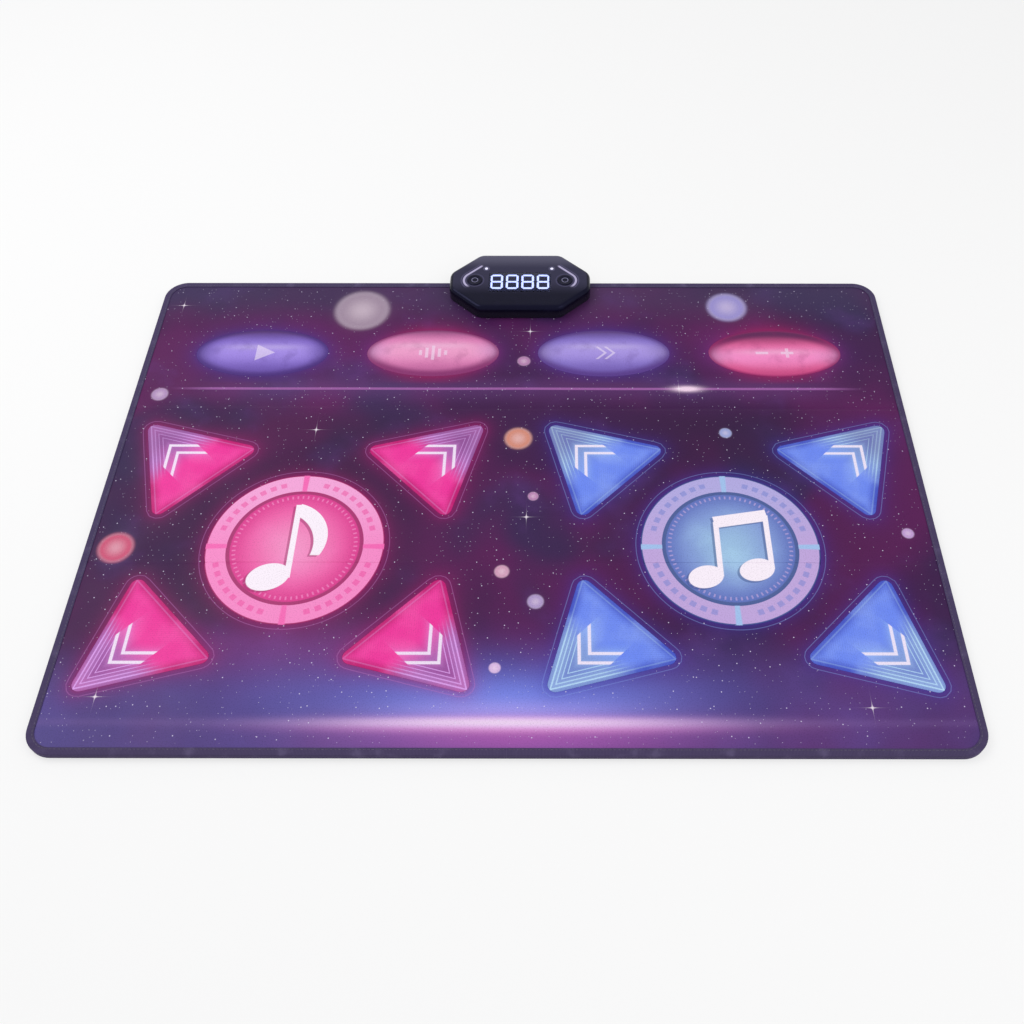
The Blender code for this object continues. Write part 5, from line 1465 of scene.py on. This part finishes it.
a = np.radians(np.linspace(0, 90, 9))
roll = [(ROLL_IN * (1 - math.cos(t)), BOX_TOP - ROLL_DOWN * (1 - math.sin(t))) for t in a]
section = [(0.5 * MM, CAP_LOW), (0.0, CAP_LOW + 0.5 * MM), (0.0, WAIST)] + roll + [(ROOF_INSET, BOX_TOP)]
section += [(ROOF_INSET, CEILING), (SHOULDER, CEILING), (WALL, BOX_TOP - ROLL_DOWN), (WALL, FOOT_TOP),
            (FOOT_IN, FOOT_TOP), (FOOT_IN, CAP_LOW)]
wall = with_slot(*skin([at_height(box_shape(inset), z) for inset, z in section], loop=True))
keyholes = [circle((side * KEY_X, BOX_Y), KEY_RADIUS + CAP_GAP) for side in (-1, 1)]
roof_edge = finely(box_shape(ROOF_INSET), step=6 * MM)
grid = np.arange(-124, 125, 8) * MM, BOX_Y + np.arange(-68, 69, 8) * MM
flat, triangles = cut_sheet(roof_edge, [window_shape(CAP_GAP), *keyholes], *grid)
roof = thick(flat, triangles, BOX_TOP, CEILING)
flat, triangles = cut_sheet(window_shape(CAP_GAP), [window_shape(-LEDGE)], *grid)
ledge = thick(flat, triangles, LEDGE_TOP, CEILING)
cap = new_piece("box_cap", joined([wall, roof, ledge]), case_black, smooth=30)
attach(cap, "rear_panel")
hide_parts("box_top_shell")

# %% [markdown]
# ## Window and digits
#
# Behind the smoked window, four numbers glow pale blue. Each is seven bars with pointed ends, as on any
# clock. A pattern on the display could be the bars, but as thin solids on its face they stay sharp, and they
# give their own light.

# %% Window
smoked = new_surface("smoked_window", 0.03, Transmission_Weight=1.0, IOR=1.45, Specular_Tint=VIOLET_GLOSS)
place = Place(smoked)
paint = Paint(smoked, "#6a74a4")
paint.over("#586090", rise(place.noise(55.0, 5.0), 0.5, 0.78) * 0.35)
apply_paint(smoked, paint, rise(place.noise(40.0, 3.0), 0.45, 0.75) * 0.05 + 0.02)
pane_profile = ((-0.2, 34.5), (0, 34.7), (0, 35.75), (-0.08, 35.92), (-0.3, 36.0))
rings = [at_height(window_shape(grow * MM), z * MM) for grow, z in pane_profile]
window = new_piece("smoked_window_pane", skin(rings), smoked, smooth=30)
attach(window, "rear_panel")
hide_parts("display_window")

# %% Digits
DIGIT_PITCH, DIGIT_WIDTH, DIGIT_HEIGHT, DIGIT_Y = 28 * MM, 19 * MM, 33 * MM, WINDOW_Y + 3 * MM
BAR_T, BAR_GAP, BAR_Z, DIGIT_LIGHT = 3.8 * MM, 0.4 * MM, (33.2 * MM, 33.5 * MM), 5.4

glow = new_surface("digit_glow", 0.5, Base_Color=ink("#a9bdf2"), Emission_Color=ink("#fffaf4"))
place = Place(glow)
strength = glow.node_tree.nodes["Principled BSDF"].inputs["Emission Strength"]
plug(rise(place.noise(120.0, 2.0), 0.3, 0.7) * 0.6 + DIGIT_LIGHT, strength)


def bar_shape(length):
    """A bar with pointed ends, lying along x."""
    half, t = length / 2 - BAR_GAP, BAR_T / 2
    loop = np.array([(half, 0), (half - t, t), (t - half, t), (-half, 0), (t - half, -t), (half - t, -t)])
    return skin([at_height(loop, z) for z in BAR_Z])


w, h = DIGIT_WIDTH / 2, DIGIT_HEIGHT / 4
across = [(0, 2 * h), (0, 0), (0, -2 * h)]
upright = [(w, h), (-w, h), (w, -h), (-w, -h)]
digit_x = (np.arange(4) - 1.5) * DIGIT_PITCH
parts = []
for bars, length, turn in ((across, DIGIT_WIDTH, 0.0), (upright, DIGIT_HEIGHT / 2, np.pi / 2)):
    spots = np.array([(x + bx, DIGIT_Y + by, 0) for x in digit_x for bx, by in bars])
    parts.append(copies(*bar_shape(length), spots, np.full(len(spots), turn)))
digits = new_piece("display_digits", joined(parts), glow, smooth=30)
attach(digits, "rear_panel")

# %% [markdown]
# ## Keys and small lamps
#
# The two round keys are turned shapes: a soft rim, a dished top and a stem below. Two tiny pale lamps sit
# at the window's far corners.

# %% Keys
key_black, place, paint, rough = moulded(
    "key_plastic", "#0b0a18", "#1a182c", 0.24, Specular_IOR_Level=0.2, Specular_Tint=VIOLET_GLOSS
)
from_middle = distance(abs(place.x) - KEY_X, place.y - BOX_Y)
paint.over("#8f8cae", stripe(from_middle, 5.5 * MM, 0.6 * MM) * rise(place.z, 36.3 * MM, 36.5 * MM))
apply_paint(key_black, paint, rough, place.noise(420.0, 2.0), depth=0.02 * MM)

key_profile = np.array([
    (4, 24.8), (4, 31.7), (15, 31.7), (15, 33.2), (13.5, 33.2), (13.5, 36.2), (13.3, 36.75), (12.8, 37.1),
    (12.1, 37.2), (10.5, 37.0), (8, 36.72), (5, 36.55), (2.5, 36.5), (0.6, 36.5),
]) * MM
for name, side in (("left_key", -1), ("right_key", 1)):
    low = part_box(name)[0].z
    rings = [at_height(circle((side * KEY_X, BOX_Y), r), max(z, low)) for r, z in key_profile]
    key = new_piece(f"{name}_cap", skin(rings), key_black, smooth=35)
    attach(key, name)
    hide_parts(name)

# %% Small lamps
lamp_glow = new_surface("lamp_glow", 0.3, Emission_Color=ink("#c8c6e4"), Emission_Strength=0.6)
place = Place(lamp_glow)
paint = Paint(lamp_glow, "#d2d0ea")
paint.over("#b2afd2", rise(place.noise(450.0, 3.0), 0.35, 0.7) * 0.6)
apply_paint(lamp_glow, paint, place.noise(300.0, 2.0) * 0.16 + 0.2)
lamp_profile = ((3.0, 35.4), (3.0, 36.05), (2.7, 36.35), (1.7, 36.55), (0.4, 36.62))
rings = [at_height(circle((0, 0), r * MM, 20), z * MM) for r, z in lamp_profile]
spots = np.array([(x, BOX_Y + LAMP_Y, 0) for x in LAMP_X])
made = copies(*skin(rings), spots, np.zeros(len(spots)))
lamps = new_piece("indicator_lamps", made, lamp_glow, smooth=30)
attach(lamps, "rear_panel")

# %% [markdown]
# ## The parts inside
#
# Foam, films, circuit board, speaker, cells and screws keep their CAD shapes, which are right as they are.
# Each still gets a finish of its own, for whoever opens the mat or looks at one part alone. The board is
# green with what is soldered on it in black, which shows through the power switch's slot.

# %% Plain finishes of the inner parts
def speckled(name, ground, other, roughness, scale, share=0.6, depth=0.05 * MM, **constants):
    """A plain stuff with fine variation in its colour and a little in its height."""
    material = new_surface(name, roughness, **constants)
    place = Place(material)
    paint = Paint(material, ground)
    paint.over(other, rise(place.noise(scale, 4.0), 0.42, 0.7) * share)
    return apply_paint(material, paint, height=place.noise(scale * 4, 2.0), depth=depth)


case_matt, place, paint, rough = moulded("case_underside", "#0b0b10", "#1a1922", 0.38)
apply_paint(case_matt, paint, rough, place.noise(700.0, 2.0), depth=0.05 * MM)
print("plain finishes ready")

# %% Board and cells
BOARD_LOW, BOARD_HIGH, TRACK_PITCH = 19.5 * MM, 21.1 * MM, 2.2 * MM

board = new_surface("board_green", 0.35, Specular_IOR_Level=0.5)
place = Place(board)
paint = Paint(board, "#0f4a2c")
tracks = calculate("PINGPONG", place.x + place.noise(30.0, 0.0) * 0.02, TRACK_PITCH)
paint.over("#1b6b40", rise(tracks, 0.0012, 0.0014))
off, luck = place.cells(210.0)
paint.over("#c9ccd0", rise(off, 0.2, 0.14) * rise(luck, 0.6, 0.65))
soldered = either(*[rise(place.z, z + way * 0.1 * MM, z + way * 0.2 * MM)
                    for z, way in ((BOARD_HIGH, 1), (BOARD_LOW, -1))])
paint.over("#17171c", soldered)
apply_paint(board, paint, height=tracks * 200, depth=0.03 * MM)

jacket = new_surface("cell_jacket", 0.3, Metallic=0.35)
place = Place(jacket)
paint = Paint(jacket, "#1a1c22")
paint.over("#b07a34", stripe(place.x, 52.5 * MM, 5.0 * MM))
paint.over("#c9cbd0", rise(place.noise(800.0, 1.0), 0.6, 0.8) * 0.2)
apply_paint(jacket, paint, height=place.noise(300.0, 2.0), depth=0.02 * MM)
print("board:", len(board.node_tree.nodes), "nodes, cells:", len(jacket.node_tree.nodes), "nodes")

# %% Finishes given to the CAD parts
inner_finish = {
    "grey_foam": speckled("grey_foam", "#6a6a70", "#4a4a50", 0.95, 420.0, depth=0.3 * MM),
    "clear_film": speckled("film", "#c9ccd4", "#b4b8c4", 0.28, 60.0, 0.4),
    "black_case": case_matt,
    "board_green": board,
    "display_black": speckled("display_black", "#07080c", "#10121a", 0.25, 90.0),
    "white_plastic": speckled("white_plastic", "#d8d8d4", "#c2c2be", 0.4, 120.0),
    "bright_metal": speckled("bright_metal", "#b9bbc0", "#8d9096", 0.28, 300.0, Metallic=1.0),
    "speaker_paper": speckled("speaker_paper", "#1b1b1d", "#2d2d30", 0.8, 500.0, depth=0.15 * MM),
    "cell_jacket": jacket,
    "key_plastic": key_black,
}
kept = 0
for name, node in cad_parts.items():
    slot = node.data.materials[0].name.split(".")[0]
    if not node.hide_render:
        node.data.materials[0] = inner_finish[slot]
        kept += 1
print("CAD nodes kept, with new finishes:", kept)
